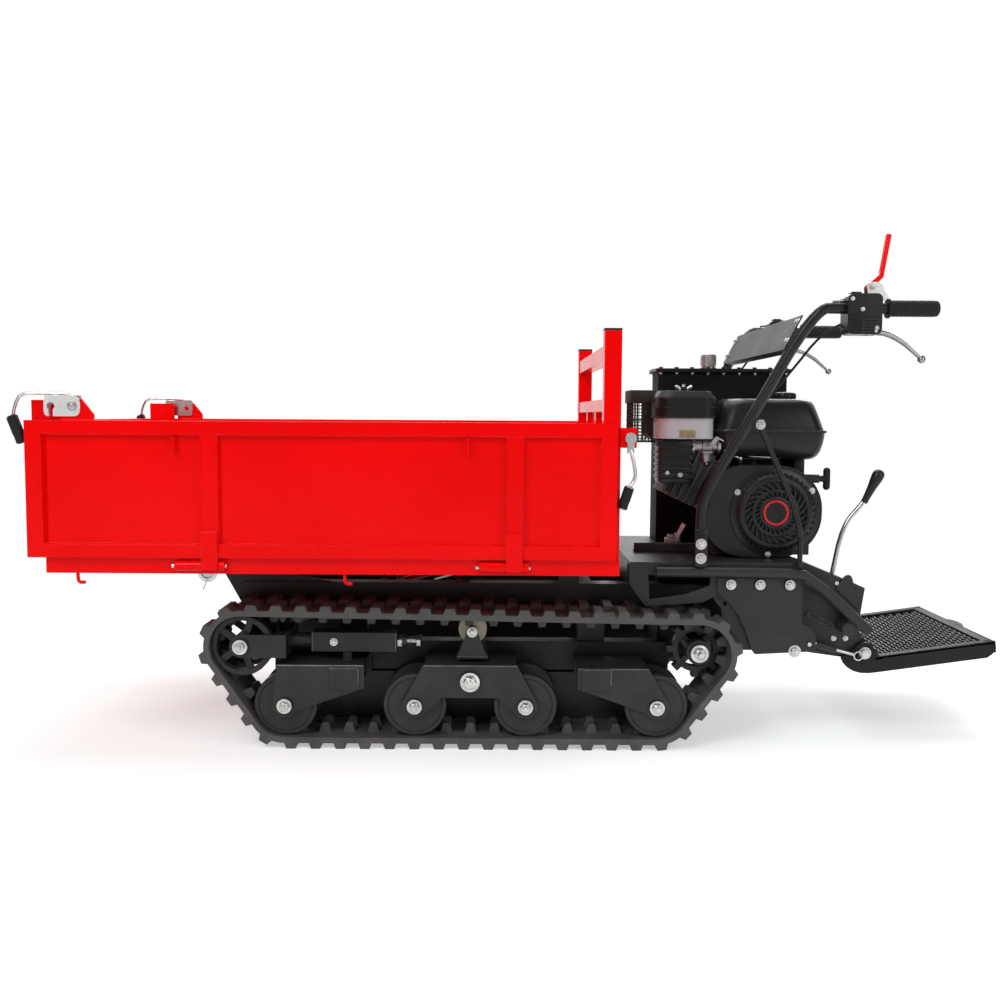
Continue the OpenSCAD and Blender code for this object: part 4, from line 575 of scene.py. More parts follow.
def make_fasteners_tree():
    """Hex heads on washers at points that carry an axis and a size. Half the head's width is the unit."""
    tree, enter, leave = geometry_tree("hex_fasteners", {"Head Height": 0.62, "Washer": 1.45, "Stub": 0.42})
    head, washer = enter["Head Height"], enter["Washer"]
    join = tree.nodes.new("GeometryNodeJoinGeometry")

    def stack(kind, inputs, lift):
        """Adds a turned shape, lifted along the bolt's axis."""
        shape = add_node(tree, kind, inputs).outputs["Mesh"]
        move = {"Geometry": shape, "Translation": vector_of(tree, Z=lift)}
        wire(tree, join, {0: add_node(tree, "GeometryNodeTransform", move).outputs[0]})

    washer_top = maths(tree, "SUBTRACT", washer, 0.05)
    head_middle = maths(tree, "ADD", maths(tree, "MULTIPLY", head, 0.5), 0.15)
    stack("GeometryNodeMeshCone",
          {"Vertices": 20, "Depth": 0.16, "Radius Bottom": washer, "Radius Top": washer_top}, 0.0)
    stack("GeometryNodeMeshCylinder", {"Vertices": 6, "Depth": head, "Radius": 1.0}, head_middle)
    stack("GeometryNodeMeshCone",
          {"Vertices": 20, "Depth": 0.12, "Radius Bottom": 0.88, "Radius Top": 0.74},
          maths(tree, "ADD", head, 0.15))
    stack("GeometryNodeMeshCone",
          {"Vertices": 16, "Depth": enter["Stub"], "Radius Bottom": 0.5, "Radius Top": 0.42},
          maths(tree, "ADD", head, 0.2))
    axis = {"Vector": named_attribute(tree, "axis", "FLOAT_VECTOR")}
    turned = add_node(tree, "FunctionNodeAlignRotationToVector", axis, axis="Z").outputs[0]
    bolts = copies(tree, enter["Geometry"], join.outputs[0], Rotation=turned,
                   Scale=named_attribute(tree, "size", "FLOAT"))
    send_out(tree, bolts, enter, leave)
    return tree


def make_weld_tree():
    """A rippled bead along every edge of a wire mesh."""
    tree, enter, leave = geometry_tree("weld_beads", {"Radius": 0.003, "Pitch": 0.004, "Ripple": 0.22})
    curve = add_node(tree, "GeometryNodeMeshToCurve", {"Mesh": enter["Geometry"]}).outputs[0]
    steps = add_node(tree, "GeometryNodeResampleCurve", {"Curve": curve, "Length": enter["Pitch"]},
                     mode="LENGTH").outputs[0]
    swell = maths(tree, "MULTIPLY_ADD", maths(tree, "MODULO", index_of(tree), 2.0), enter["Ripple"], 0.85)
    sized = add_node(tree, "GeometryNodeSetCurveRadius", {"Curve": steps, "Radius": swell}).outputs[0]
    ring = add_node(tree, "GeometryNodeCurvePrimitiveCircle", {"Resolution": 8, "Radius": enter["Radius"]})
    tube = add_node(tree, "GeometryNodeCurveToMesh",
                    {"Curve": sized, "Profile Curve": ring.outputs[0], "Fill Caps": True})
    # Only some versions of this node take the curve's radius by a socket
    if "Scale" in tube.inputs:
        wire(tree, tube, {"Scale": output_of(tree, "GeometryNodeInputRadius", 0)})
    send_out(tree, tube.outputs[0], enter, leave)
    return tree


def make_wheel_tree():
    """Copies of one shape round the Z axis."""
    tree, enter, leave = geometry_tree("wheel_of_copies", {"Count": 26})
    share = maths(tree, "DIVIDE", index_of(tree), enter["Count"])
    spin = vector_of(tree, Z=maths(tree, "MULTIPLY", share, 2 * math.pi))
    points = line_of(tree, enter["Count"], (0, 0, 0))
    send_out(tree, copies(tree, points, enter["Geometry"], Rotation=spin), enter, leave)
    return tree


def make_tread_tree():
    """Slanted strands in staggered rows, as in expanded metal."""
    tree, enter, leave = geometry_tree(
        "expanded_tread", {"Rows": 24, "Columns": 14, "Row Pitch": 0.012, "Column Pitch": 0.03})
    columns, index = enter["Columns"], index_of(tree)
    row = maths(tree, "FLOOR", maths(tree, "DIVIDE", index, columns))
    stagger = maths(tree, "MULTIPLY", maths(tree, "MODULO", row, 2.0), 0.5)
    column = maths(tree, "ADD", maths(tree, "MODULO", index, columns), stagger)
    spot = vector_of(tree, X=maths(tree, "MULTIPLY", row, enter["Row Pitch"]),
                     Y=maths(tree, "MULTIPLY", column, enter["Column Pitch"]))
    line = line_of(tree, maths(tree, "MULTIPLY", enter["Rows"], columns), (0, 0, 0))
    points = add_node(tree, "GeometryNodeSetPosition", {"Geometry": line, "Offset": spot}).outputs[0]
    send_out(tree, copies(tree, points, enter["Geometry"]), enter, leave)
    return tree


def make_rows_tree():
    """Copies of one shape in a straight row."""
    tree, enter, leave = geometry_tree("straight_row", {"Count": 8, "Step": "NodeSocketVector"})
    points = line_of(tree, enter["Count"], enter["Step"])
    send_out(tree, copies(tree, points, enter["Geometry"]), enter, leave)
    return tree


FASTENERS = make_fasteners_tree()
WELDS = make_weld_tree()
WHEEL = make_wheel_tree()
TREAD = make_tread_tree()
ROWS = make_rows_tree()


def grown(name, mesh, tree, settings, body, smooth=35.0, place=None):
    """Runs a Geometry Nodes tree on a mesh and keeps the result as a plain piece on a body."""
    seed = bpy.data.objects.new(name + "_seed", mesh)
    scene.collection.objects.link(seed)
    modifier = seed.modifiers.new("grow", "NODES")
    modifier.node_group = tree
    keys = {item.name: item.identifier for item in tree.interface.items_tree if item.in_out == "INPUT"}
    for label, value in settings.items():
        modifier[keys[label]] = value
    graph = bpy.context.evaluated_depsgraph_get()
    result = bpy.data.meshes.new_from_object(seed.evaluated_get(graph))
    result.name = name
    bpy.data.objects.remove(seed)
    bpy.data.meshes.remove(mesh)
    if place is not None:
        result.transform(place)
    settle(name, result, body, smooth)


def fasteners(name, rows, body="root", **shape):
    """Bright hex heads at rows of (place, axis, half width across corners), all in millimetres."""
    mesh = bpy.data.meshes.new(name + "_points")
    mesh.from_pydata([Vector(p) * MM for p, _, _ in rows], [], [])
    mesh.attributes.new("axis", "FLOAT_VECTOR", "POINT")
    mesh.attributes.new("size", "FLOAT", "POINT")
    mesh.attributes["axis"].data.foreach_set("vector", [c for _, d, _ in rows for c in d])
    mesh.attributes["size"].data.foreach_set("value", [width * MM for _, _, width in rows])
    grown(name, mesh, FASTENERS, {"Finish": ZINC, **spaced(shape)}, body)


def side_rows(spots):
    """Rows of heads that point outwards on both sides, from (x, y, z, half width) on the right side."""
    return [((x, s * y, z), (0, s, 0), width) for _, s in SIDES for x, y, z, width in spots]


def welds(name, routes, body, mat, radius):
    """Weld beads along routes of points in millimetres."""
    points, edges = [], []
    for route in routes:
        start = len(points)
        points += [Vector(p) * MM for p in route]
        edges += [(start + k, start + k + 1) for k in range(len(route) - 1)]
    mesh = bpy.data.meshes.new(name + "_lines")
    mesh.from_pydata(points, edges, [])
    grown(name, mesh, WELDS, {"Finish": mat, "Radius": radius * MM}, body, 60.0)


VANE_STEPS = 10
VANE_SOFT = 0.8


def vane_mesh(r0, r1, sweep_deg, half_width, low, high, bulge=0.0):
    """One curved vane in the plane of its wheel, thicker in its middle."""
    bm = bmesh.new()
    rows = []
    for k in range(VANE_STEPS + 1):
        t = k / VANE_STEPS
        r = r0 + (r1 - r0) * t
        a = math.radians(sweep_deg) * t
        w = half_width * (0.75 + 0.25 * math.sin(math.pi * t)) + bulge * t
        section = ((-w, low), (-w, high - VANE_SOFT), (-w + VANE_SOFT, high), (w - VANE_SOFT, high),
                   (w, high - VANE_SOFT), (w, low))
        centre = Vector((math.cos(a), math.sin(a), 0)) * r
        across = Vector((-math.sin(a), math.cos(a), 0))
        rows.append([bm.verts.new((centre + across * x + Vector((0, 0, z))) * MM) for x, z in section])
    join_loops(bm, rows)
    bmesh.ops.recalc_face_normals(bm, faces=bm.faces)
    return mesh_of("vane", bm)


# Handlebar tubes along the same routes as the solids, their feet and their braces
RAIL_Y = 299.3
BAR_END_Y = 360
GRIP_Z = 1068
BAR_FOOT_Z = 446.3
BAR_R = 13
BRACE_R = 6.4


def handle_tubes():
    """Bent tubes with their braces, the plates that join them, and the bolts of their feet."""
    bm = bmesh.new()
    for _, s in SIDES:
        rail, end = s * RAIL_Y, s * BAR_END_Y
        tube = [(430, rail, BAR_FOOT_Z), (430, rail, 560), (436, s * (RAIL_Y + 2), 622),
                (538, s * (RAIL_Y + 18), 802), (677, end, GRIP_Z), (737, end, GRIP_Z), (961, end, GRIP_Z)]
        sweep(bm, smooth_route(tube, 3), BAR_R, 28)
        brace = [(560, s * (RAIL_Y + 12), 802), (676, s * (RAIL_Y - 2), 560), (674, rail, BAR_FOOT_Z)]
        sweep(bm, smooth_route(brace), BRACE_R, 16)
        soft_box(bm, (530, s * (RAIL_Y + 16), 782), (576, s * (RAIL_Y + 22), 806), 2.6)
        soft_box(bm, (414, s * (RAIL_Y + 11.5), 449), (446, s * (RAIL_Y + 17.5), 540), 2.5)
    piece = add_piece("handle_tubes", bm, "root", BLACK_GLOSS, 50)
    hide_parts("handlebar")
    foot_y = RAIL_Y + 17.5
    spots = ((429, foot_y, 504, 9.5), (429, foot_y, 469, 9.5), (565, RAIL_Y + 22, 794, 8.5))
    fasteners("handle_bolts", side_rows(spots), Stub=0.3)


def tapered_sleeve(name, start, end, radius, body):
    """A moulded grip with a waist and a domed end over the end of a rod."""
    axis = Vector(end) - Vector(start)
    length = axis.length
    waist = 4 + 0.7 * (length - 10)
    profile = [(0, 0), (radius * 0.72, 0), (radius * 0.86, 2), (radius, 4), (radius, waist),
               (radius * 0.94, waist + 0.5), (radius * 0.94, length - 6.5), (radius, length - 6),
               (radius * 0.95, length - 2.5), (radius * 0.7, length), (0, length + 0.6)]
    turned_piece(name, [(profile, start, axis, 28)], BLACK_RUBBER, 30, body)


def latch_grips():
    """Rubber grips on the handles of the four latches."""
    for side, s in SIDES:
        tapered_sleeve(f"front_latch_grip_{side}", (-1180.5, s * 439, 806), (-1157.4, s * 439, 743.5), 12.9,
                       f"latch_front_{side}")
        tapered_sleeve(f"rear_latch_grip_{side}", (238.5, s * 437, 651), (221.6, s * 437, 598.5), 11.8,
                       f"latch_rear_{side}")


# Engine: recoil starter round the crankshaft, air cleaner and fuel tank
CRANK = (635, 0, 572)
BLOCK_TOP = 659
CLEANER_SPOT = (419, -80, 0)
CLEANER_LOW = (342, -150)
CLEANER_HIGH = (496, -10)
FUEL_CAP_SPOT = (698, -30, 0)


def recoil_starter():
    """Cover with two rows of slots between curved vanes, ribs on its rim, a plain badge and three bolts."""
    shell = [(76, 201), (113, 200), (113, 202.6), (111, 203.4), (101, 204), (96, 208), (92.5, 212.6),
             (88, 215.6), (83, 216.2), (79, 215), (77.5, 212), (77.5, 206), (0, 206)]
    hub = [(42, 205), (42, 215), (40.5, 216.6), (36, 217.2), (34, 216.4), (33, 215.2), (0, 215.2)]
    ring = [(52, 206), (52, 214.4), (53, 215.6), (59.5, 215.6), (60.5, 214.4), (60.5, 206)]
    turnings = [(profile, CRANK, OUT_LEFT, steps) for profile, steps in ((shell, 96), (hub, 72), (ring, 96))]
    cover = turned_piece("recoil_shell", turnings, BLACK_GLOSS, 40)
    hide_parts("recoil_cover")
    to_left = Matrix.Translation(at(*CRANK)) @ Matrix.Rotation(math.radians(90), 4, "X")
    grown("recoil_vanes", vane_mesh(41, 78.5, 26, 2.6, 205, 215.2, 0.9), WHEEL,
          {"Count": 26, "Finish": BLACK_GLOSS}, "root", place=to_left)
    grown("recoil_rim_ribs", vane_mesh(90.5, 103, 4, 1.5, 202.5, 209.5), WHEEL,
          {"Count": 40, "Finish": BLACK_GLOSS}, "root", place=to_left)
    badge_ring = [(0, 216.0), (26.4, 216.0), (27, 216.9), (31.6, 216.9), (32.4, 216.2), (32.4, 214.8),
                  (0, 214.8)]
    turned_piece("badge_ring", [(badge_ring, CRANK, OUT_LEFT, 72)], BADGE_RED, 30)
    badge_face = [(0, 216.5), (25.6, 216.5), (26.2, 216.1), (26.2, 215.4), (0, 215.4)]
    turned_piece("badge_face", [(badge_face, CRANK, OUT_LEFT, 64)], BLACK_GLOSS, 30)
    rows = [((CRANK[0] + 108 * math.cos(a), -203.2, CRANK[2] + 108 * math.sin(a)), OUT_LEFT, 6.2)
            for a in (math.radians(d) for d in (31, 152, 262))]
    fasteners("recoil_bolts", rows, Stub=0.01, Washer=1.3)


def wing_nut():
    """Wing nut that holds the air cleaner's lid down."""
    x, y, _ = CLEANER_SPOT
    nut = [(0, 876), (13, 876), (13, 878.5), (8, 879), (7, 887), (5.5, 891), (4, 891), (4, 896), (0, 896.5)]
    bm = bmesh.new()
    lathe(bm, nut, CLEANER_SPOT, UP, 24)
    for s in (-1, 1):
        wing = [(x + s * 4, y, 881), (x + s * 11, y, 885), (x + s * 18, y, 889), (x + s * 22, y, 892)]
        sweep(bm, wing, [3.2, 4.4, 4.8, 2.6], 12)
    add_piece("air_cleaner_wing_nut", bm, "root", ZINC, 40)


def air_cleaner_trim():
    """Bands round the air cleaner, its element behind the bowl, and the ribbed shroud below."""
    bm = bmesh.new()
    for z, grow in ((811, 2.2), (835, 0.8), (858, 1.0)):
        low = (CLEANER_LOW[0] - grow, CLEANER_LOW[1] - grow)
        high = (CLEANER_HIGH[0] + grow, CLEANER_HIGH[1] + grow)
        rounded_band(bm, low, high, 38, z - 2.2, z + 2.2)
    add_piece("air_cleaner_bands", bm, "root", BLACK_GLOSS, 40)
    element = ((398, -146.8, 757), (442, -138, 779), 3)
    box_piece("air_cleaner_element", [element], FILTER_TAN, 40)
    shroud = ((352, -132, 640), (436, -40, 752), 5)
    ribs = [((349, -135, 652 + 16 * k), (439, -36, 658 + 16 * k), 2.4) for k in range(6)]
    box_piece("cylinder_shroud", [shroud, *ribs], BLACK_GLOSS, 40)


# Height, insets at the engine side, the rear and the sides, and corner radius of the pressed tank
TANK_SECTIONS = ((702, 46, 46, 46, 22), (702.6, 36, 36, 34, 28), (705, 28, 28, 26, 32),
                 (712, 19, 19, 18, 34), (724, 12, 12, 12, 35), (744, 7, 7, 7, 35), (764, 4, 4, 4, 35),
                 (771, 4, 4, 4, 34), (771.6, 0.6, 0.6, 0.6, 34), (773, 0, 0, 0, 34), (777, 0, 0, 0, 34),
                 (778.4, 0.6, 0.6, 0.6, 34), (779, 5, 6, 6, 33), (790, 8, 9, 10, 36), (812, 14, 15, 17, 38),
                 (832, 20, 21, 24, 40), (844, 24, 25, 29, 41), (852, 29, 30, 34, 43), (857, 36, 37, 41, 45),
                 (859.6, 46, 48, 52, 45), (860.4, 68, 70, 74, 40))


def fuel_tank():
    """Pressed tank in two halves with a seam flange, its legs, and its ribbed cap."""
    bm = bmesh.new()
    join_loops(bm, [rounded_loop(bm, (498 + front, -150 + side), (785 - rear, 108 - side), radius, z)
                    for z, front, rear, side, radius in TANK_SECTIONS])
    for x in (598, 725):
        soft_box(bm, (x - 14, -90, BLOCK_TOP), (x + 14, 40, 706), 2)
    piece = add_piece("fuel_tank_shell", bm, "root", BLACK_GLOSS, 40)
    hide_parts("fuel_tank")
    cap = [(20, 858), (27, 858.5), (27.6, 862), (27.6, 872), (26, 876), (21, 878.4), (0, 879.4)]
    turned_piece("fuel_cap_shell", [(cap, FUEL_CAP_SPOT, UP, 48)], BLACK_GLOSS, 30)
    grown("fuel_cap_ribs", vane_mesh(26.8, 29.2, 0, 1.2, 861, 874), WHEEL,
          {"Count": 26, "Finish": BLACK_GLOSS}, "root",
          place=Matrix.Translation(at(*FUEL_CAP_SPOT)))


# Oil tank: nuts under its flange, and the neck of its filler
FILLER_SPOT = (537, 204, 0)


def tank_nuts():
    """Bright nuts under the flange on both long sides, and the ring that the filler cap sits on."""
    rows = [((391 + 44 * k, y, 935.6), (0, 0, -1), 5.4) for k in range(9) for y in (134.5, 273.5)]
    fasteners("tank_nuts", rows, Stub=0.5, Washer=1.2)
    neck = [(0, 946.8), (24, 946.8), (24.6, 948), (24.6, 951.5), (21.4, 952), (21.4, 956)]
    turned_piece("filler_neck", [(neck, FILLER_SPOT, UP, 40)], CHROME, 30)


# Steering levers: forged bars that thin out towards a ball
def steering_levers():
    hub = [(4.1, -8), (9, -8), (9.8, -6.5), (9.8, 6.5), (9, 8), (4.1, 8)]
    for side, s in SIDES:
        y = s * BAR_END_Y
        bm = bmesh.new()
        lathe(bm, hub, (812, y, 1014), ACROSS, 28)
        bar = [(816, y, 1013), (846, y, 1010), (884, y, 990), (912, y, 966), (929, y, 951)]
        route = smooth_route(bar, 3)
        last = len(route) - 1
        sweep(bm, route, [10.4 - 5.6 * k / last for k in range(last + 1)], 16, 0.72)
        ball(bm, (930, y, 950.5), 9.6)
        piece = add_piece(f"steering_lever_forged_{side}", bm, f"steering_lever_{side}", LEVER_ALLOY,
                          40)
        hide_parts(f"steering_lever_{side}")


POD_FACE_Y = BAR_END_Y + 28


def pod_details():
    """Ribs, screws, a switch and a cable end on each control pod."""
    # X span, height over the outer face, Z span and edge radius of the ribs
    raised = [(752 - k, 806 + 2 * k, 2.4, 1010 + 7 * k, 1013.4 + 7 * k, 1) for k in range(5)]
    raised += [(778, 783, 2.2, 1006, 1042, 1), (749, 820, 1.6, 1049, 1052, 0.7)]
    bm = bmesh.new()
    for _, s in SIDES:
        for x0, x1, height, z0, z1, radius in raised:
            soft_box(bm, (x0, s * POD_FACE_Y, z0), (x1, s * (POD_FACE_Y + height), z1), radius)
        soft_box(bm, (757, s * BAR_END_Y - 14, 1098), (781, s * BAR_END_Y + 14, 1106), 3)
    add_piece("pod_ribs", bm, "root", BLACK_GLOSS, 40)
    spots = [(x, POD_FACE_Y + 0.2, z, 4.6) for x, z in ((779, 1064), (813, 1021), (755, 1088))]
    fasteners("pod_screws", side_rows(spots), Stub=0.02, Head_Height=0.4, Washer=1.15)
    ferrule = [(0, 0), (6, 0), (6, 10), (4.6, 12), (4.6, 26), (3.4, 28), (0, 28)]
    turnings = [(ferrule, (746, s * (BAR_END_Y - 6), 1088), (-1, 0, -0.12), 16) for _, s in SIDES]
    turned_piece("cable_ferrules", turnings, ZINC, 40)


def grip_sleeves():
    """Moulded rubber grips with rings at their thumb end and a domed tip."""
    profile = [(13.2, 0), (22.5, 0), (23, 1.2), (23, 5), (21.5, 6.2), (18.4, 7)]
    for k in range(11):
        low = 12 + 9 * k
        profile += [(18.4, low), (19.2, low + 0.8), (19.2, low + 5.6), (18.4, low + 6.4)]
    profile += [(18.6, 113), (18.2, 117.5), (15, 120.6), (8, 121), (0, 121)]
    turnings = [(profile, (844, s * BAR_END_Y, GRIP_Z), ALONG, 40) for _, s in SIDES]
    piece = turned_piece("grip_sleeves", turnings, BLACK_RUBBER, 30)
    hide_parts("handle_grips")


# Riding step: a folded frame with an expanded-metal tread, drawn flat from the hinge and then sloped
STEP_SPOT = at(858, 0, 224)
STEP_SLOPE = math.radians(8)
STEP_HALF = 245
STEP_TOP = -19
STEP_LENGTH = 330
STEP_TURN = Matrix.Translation(STEP_SPOT) @ Matrix.Rotation(-STEP_SLOPE, 4, "Y")
# Side plate as (x, z) from the hinge, along the arm and the top edge, then back along the bottom
STEP_SIDE = [(-58, -4), (-40, 4), (-22, 14), (-10, 22), (6, 25), (20, 20), (38, STEP_TOP + 4),
             (STEP_LENGTH, STEP_TOP + 4), (STEP_LENGTH, STEP_TOP - 16), (STEP_LENGTH - 9, STEP_TOP - 27),
             (STEP_LENGTH - 24, STEP_TOP - 36), (24, STEP_TOP - 36), (4, STEP_TOP - 35.4),
             (-15, STEP_TOP - 32), (-32, STEP_TOP - 25), (-46, STEP_TOP - 14), (-55, STEP_TOP - 1),
             (-59, STEP_TOP + 11)]


def tread_strand():
    """One link of the tread: two strands that run out from a wide bond to the next row's bonds."""
    bm = bmesh.new()
    for s in (-1, 1):
        low = [(-1, 0, -2.4), (-3, s * 15, -3.4), (1.6, s * 15, -3.4), (4.2, 0, -2.4)]
        high = [(0.2, 0, 1.6), (-1.8, s * 15, -0.6), (2.8, s * 15, -0.6), (5.4, 0, 1.6)]
        join_loops(bm, [[bm.verts.new(at(*corner)) for corner in loop] for loop in (low, high)])
    bmesh.ops.recalc_face_normals(bm, faces=bm.faces)
    return mesh_of("tread_strand", bm)


def riding_step():
    """Side plates, rims, bars and a dark sheet under the tread as painted shade, its hand tab, strut pin,
    tread and hinge bolts.
    """
    bm = bmesh.new()
    end, half, top = STEP_LENGTH, STEP_HALF, STEP_TOP
    for s in (-1, 1):
        plate = [[bm.verts.new(at(x, y, z)) for x, z in STEP_SIDE] for y in (s * half, s * (half - 6))]
        join_loops(bm, plate)
        soft_box(bm, (30, s * half, top - 4), (end - 2, s * (half - 24), top + 4), 2)
    soft_box(bm, (end - 26, -half, top - 5), (end, half, top + 4), 2.5)
    soft_box(bm, (end - 6, -half, top - 26), (end, half, top + 2), 2)
    soft_box(bm, (24, -half, top - 6), (46, half, top + 3), 2)
    for y in (-120, 0, 120):
        soft_box(bm, (30, y - 2.5, top - 11), (end - 4, y + 2.5, top - 3.6), 1)
    # A dark sheet under the tread: painted shade that keeps the lit floor from showing through.
    soft_box(bm, (28, -half + 3, top - 13), (end - 3, half - 3, top - 11), 0.6)
    tab = [(52 * math.cos(math.pi * k / 16), 15 * math.sin(math.pi * k / 16)) for k in range(17)]
    join_loops(bm, [[bm.verts.new(at(end - 3 + x, y, z)) for y, x in tab] for z in (top - 2, top + 3)])
    bm.transform(STEP_TURN)
    lathe(bm, [(0, 0), (3.6, 0), (4, 0.6), (4, 20), (0, 20)], (838, -266, 218), ACROSS, 20)
    piece = add_piece("step_frame", bm, "platform", STEP_BLACK, 40)
    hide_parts("platform")
    grown("step_tread", tread_strand(), TREAD,
          {"Rows": 23, "Columns": 14, "Row Pitch": 0.0118, "Column Pitch": 0.030, "Finish": STEP_BLACK},
          "platform", place=STEP_TURN @ Matrix.Translation(at(46, -211, top + 0.4)))
    fasteners("step_hinge_bolts", side_rows([(860, half, 222, 11)]), "platform", Stub=0.1)


# Small fixings of the undercarriage, frame and bed
ROLLER_Z = 105.5
TENSION_Z = 250
TRACK_Y = 257
PLATE_Y = 340
TIP_X, TIP_Z = -764, 432
LATCH_X, LATCH_Z = -1035, 828


def frame_fixings():
    """Bolt heads of the track frame and rear arms, and those on the bogies, side gates and sprockets."""
    spots = [(670, 292, 236, 11), *((x, 297.6, 402, 9) for x in (508, 580, 653)),
             (784, 228, 257, 8), (814, 228, 257, 8),
             (-581, 347.8, ROLLER_Z, 13), (325, 347.8, ROLLER_Z, 13), (-687, 347.8, TENSION_Z, 13),
             (-130, 350.6, 168, 17), (-126, 308, 281.97, 9)]
    fasteners("frame_bolts", side_rows(spots), Stub=0.35)
    for side, s in SIDES:
        out = (0, s, 0)
        rows = [((x, s * 347.6, ROLLER_Z), out, 13) for x in (-265, 5)]
        fasteners(f"bogie_bolts_{side}", rows, f"bogie_{side}", Stub=0.5)
        rows = [((LATCH_X, s * 455, LATCH_Z), out, 8)]
        fasteners(f"latch_bolt_{side}", rows, f"side_gate_{side}", Stub=0.2)
        rows = [((429, s * 326.6, 236), out, 15)]
        fasteners(f"sprocket_nut_{side}", rows, f"sprocket_{side}", Stub=0.9, Washer=1.5)


def frame_welds():
    """Bright beads on the track frame, painted ones round its brackets, and red ones on the side gates."""
    routes, painted = [], []
    for _, s in SIDES:
        y = s * PLATE_Y
        for x0, x1 in ((-472, -402), (143, 213)):
            routes.append([(x0, y, 198), (x1, y, 198), (x1, y, 160)])
            painted.append([(x0, y, 198), (x0, y, 146), (x1, y, 146), (x1, y, 160)])
        for x in (-523, -317):
            routes.append([(x, s * 281, 226), (x, s * 281, 274)])
        routes.append([(-164, s * 303, 220), (-88, s * 303, 220)])
    welds("frame_welds", routes, "root", WELD_BEAD, 2.8)
    welds("painted_welds", painted, "root", BLACK_POWDER, 2.6)
    for side, s in SIDES:
        routes = []
        for x in (-726, -26):
            for edge in (x - 19, x + 19):
                routes.append([(edge, s * 455, 515), (edge, s * 455, 760)])
                routes.append([(edge, s * 456.7, 486), (edge, s * 456.7, 541)])
            routes.append([(x - 17, s * 457, 543.5), (x + 17, s * 457, 543.5)])
        for x in (-1108, 170):
            routes.append([(x, s * 443, 515), (x, s * 443, 560)])
            routes.append([(x, s * 443, 640), (x, s * 443, 680)])
        welds(f"gate_welds_{side}", routes, f"side_gate_{side}", RED_PAINT, 1.6)


def bed_pivot_fixings():
    """A bright washer, a ring pin and its tail at each end of the tipping pin."""
    washer = [(12.2, 0), (23, 0), (24, 0.6), (24, 2.4), (23, 3), (12.2, 3)]
    bm = bmesh.new()
    for _, s in SIDES:
        lathe(bm, washer, (TIP_X, s * 338.6, TIP_Z), (0, s, 0), 36)
        # The ring is left open over its last three steps
        ring = [(TIP_X + 15 * c, s * 343.5, TIP_Z + 15 * d) for c, d in circle(28)[:25]]
        sweep(bm, ring, 1.5, 8)
        tail = [(TIP_X, s * 343.5, 417), (TIP_X - 4, s * 344, 405), (TIP_X - 10, s * 344.5, 390)]
        sweep(bm, smooth_route(tail), 1.3, 8)
    add_piece("pivot_washers", bm, "root", ZINC, 40)


def rope_hooks():
    """Bent rod hooks under the floor's edge for a tarpaulin rope."""
    bm = bmesh.new()
    for _, s in SIDES:
        for x in (-1040, -420):
            hook = [(x, s * 432, 446), (x, s * 432, 428), (x + 4, s * 434, 420), (x + 18, s * 436, 421)]
            sweep(bm, smooth_route(hook), 4, 12)
    add_piece("tarp_hooks", bm, "bed", RED_PAINT, 50)


# Outer cheek of a front latch round its pivot, with a keyhole that is open below
LATCH_CHEEK = [(-65, -12), (-62, -20), (-57, -23), (-54, -23), (-54, -7.5)]
LATCH_CHEEK += [(-49 + 9 * math.cos(math.radians(a)), 9 * math.sin(math.radians(a)))
                for a in range(225, -46, -15)]
LATCH_CHEEK += [(-44, -7.5), (-44, -23), (6, -23), (13, -20), (17, -13), (18, -5), (18, 8), (15, 17), (8, 23),
                (0, 25), (-50, 25), (-58, 23), (-63, 17), (-65, 10)]


def latch_cheeks():
    """Bright outer plate of each front latch, folded over the top to the hook."""
    for side, s in SIDES:
        bm = bmesh.new()
        sheet_part(bm, [(LATCH_X + x, LATCH_Z + z) for x, z in LATCH_CHEEK], s * 454.8, s * 452.2)
        soft_box(bm, (-1098, s * 454.4, 849), (-1070, s * 437.2, 853), 1.2)
        add_piece(f"latch_cheek_{side}", bm, f"latch_front_{side}", BRIGHT_ZINC, 30)


# Levers and sheet parts
SHIFT_Y = -200


def shift_lever():
    """A bright bent rod on its hub, with a black knob that widens to a round top."""
    hub = [(5.1, -12), (10.4, -12), (11, -11), (11, 11), (10.4, 12), (5.1, 12)]
    rod = [(783.6, SHIFT_Y, 408), (808, SHIFT_Y, 540), (858, SHIFT_Y, 597), (866, SHIFT_Y, 615)]
    bm = bmesh.new()
    lathe(bm, hub, (782, SHIFT_Y, 400), ACROSS, 28)
    sweep(bm, smooth_route(rod), 6, 16)
    piece = add_piece("shift_rod_bright", bm, "shift_lever", CHROME, 50)
    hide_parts("shift_lever")
    knob = [(0, 0), (7.4, 0), (8.4, 2.5), (8.8, 18), (10.8, 42), (13.8, 62), (15.2, 73), (15, 80), (12.6, 87),
            (8, 91), (0, 92.4)]
    turned_piece("shift_knob", [(knob, (860, SHIFT_Y, 598), (38, 0, 78), 32)], BLACK_GLOSS,
                 40, "shift_lever")


def drive_lever_bracket():
    """Bright folded bracket round the drive lever's pivot on top of the left pod."""
    outline = [(794, 1101), (836, 1085), (843, 1092), (828, 1121), (818, 1128), (800, 1128), (793, 1118)]
    bm = bmesh.new()
    sheet_part(bm, outline, -373.4, -371.2)
    sheet_part(bm, outline, -348.8, -346.6)
    soft_box(bm, (795, -373, 1099.4), (829, -347, 1101.6), 0.8)
    add_piece("drive_lever_bracket", bm, "root", ZINC, 30)
    fasteners("drive_lever_bolt", [((806, -373.5, 1118), OUT_LEFT, 6.5)], Stub=0.3)


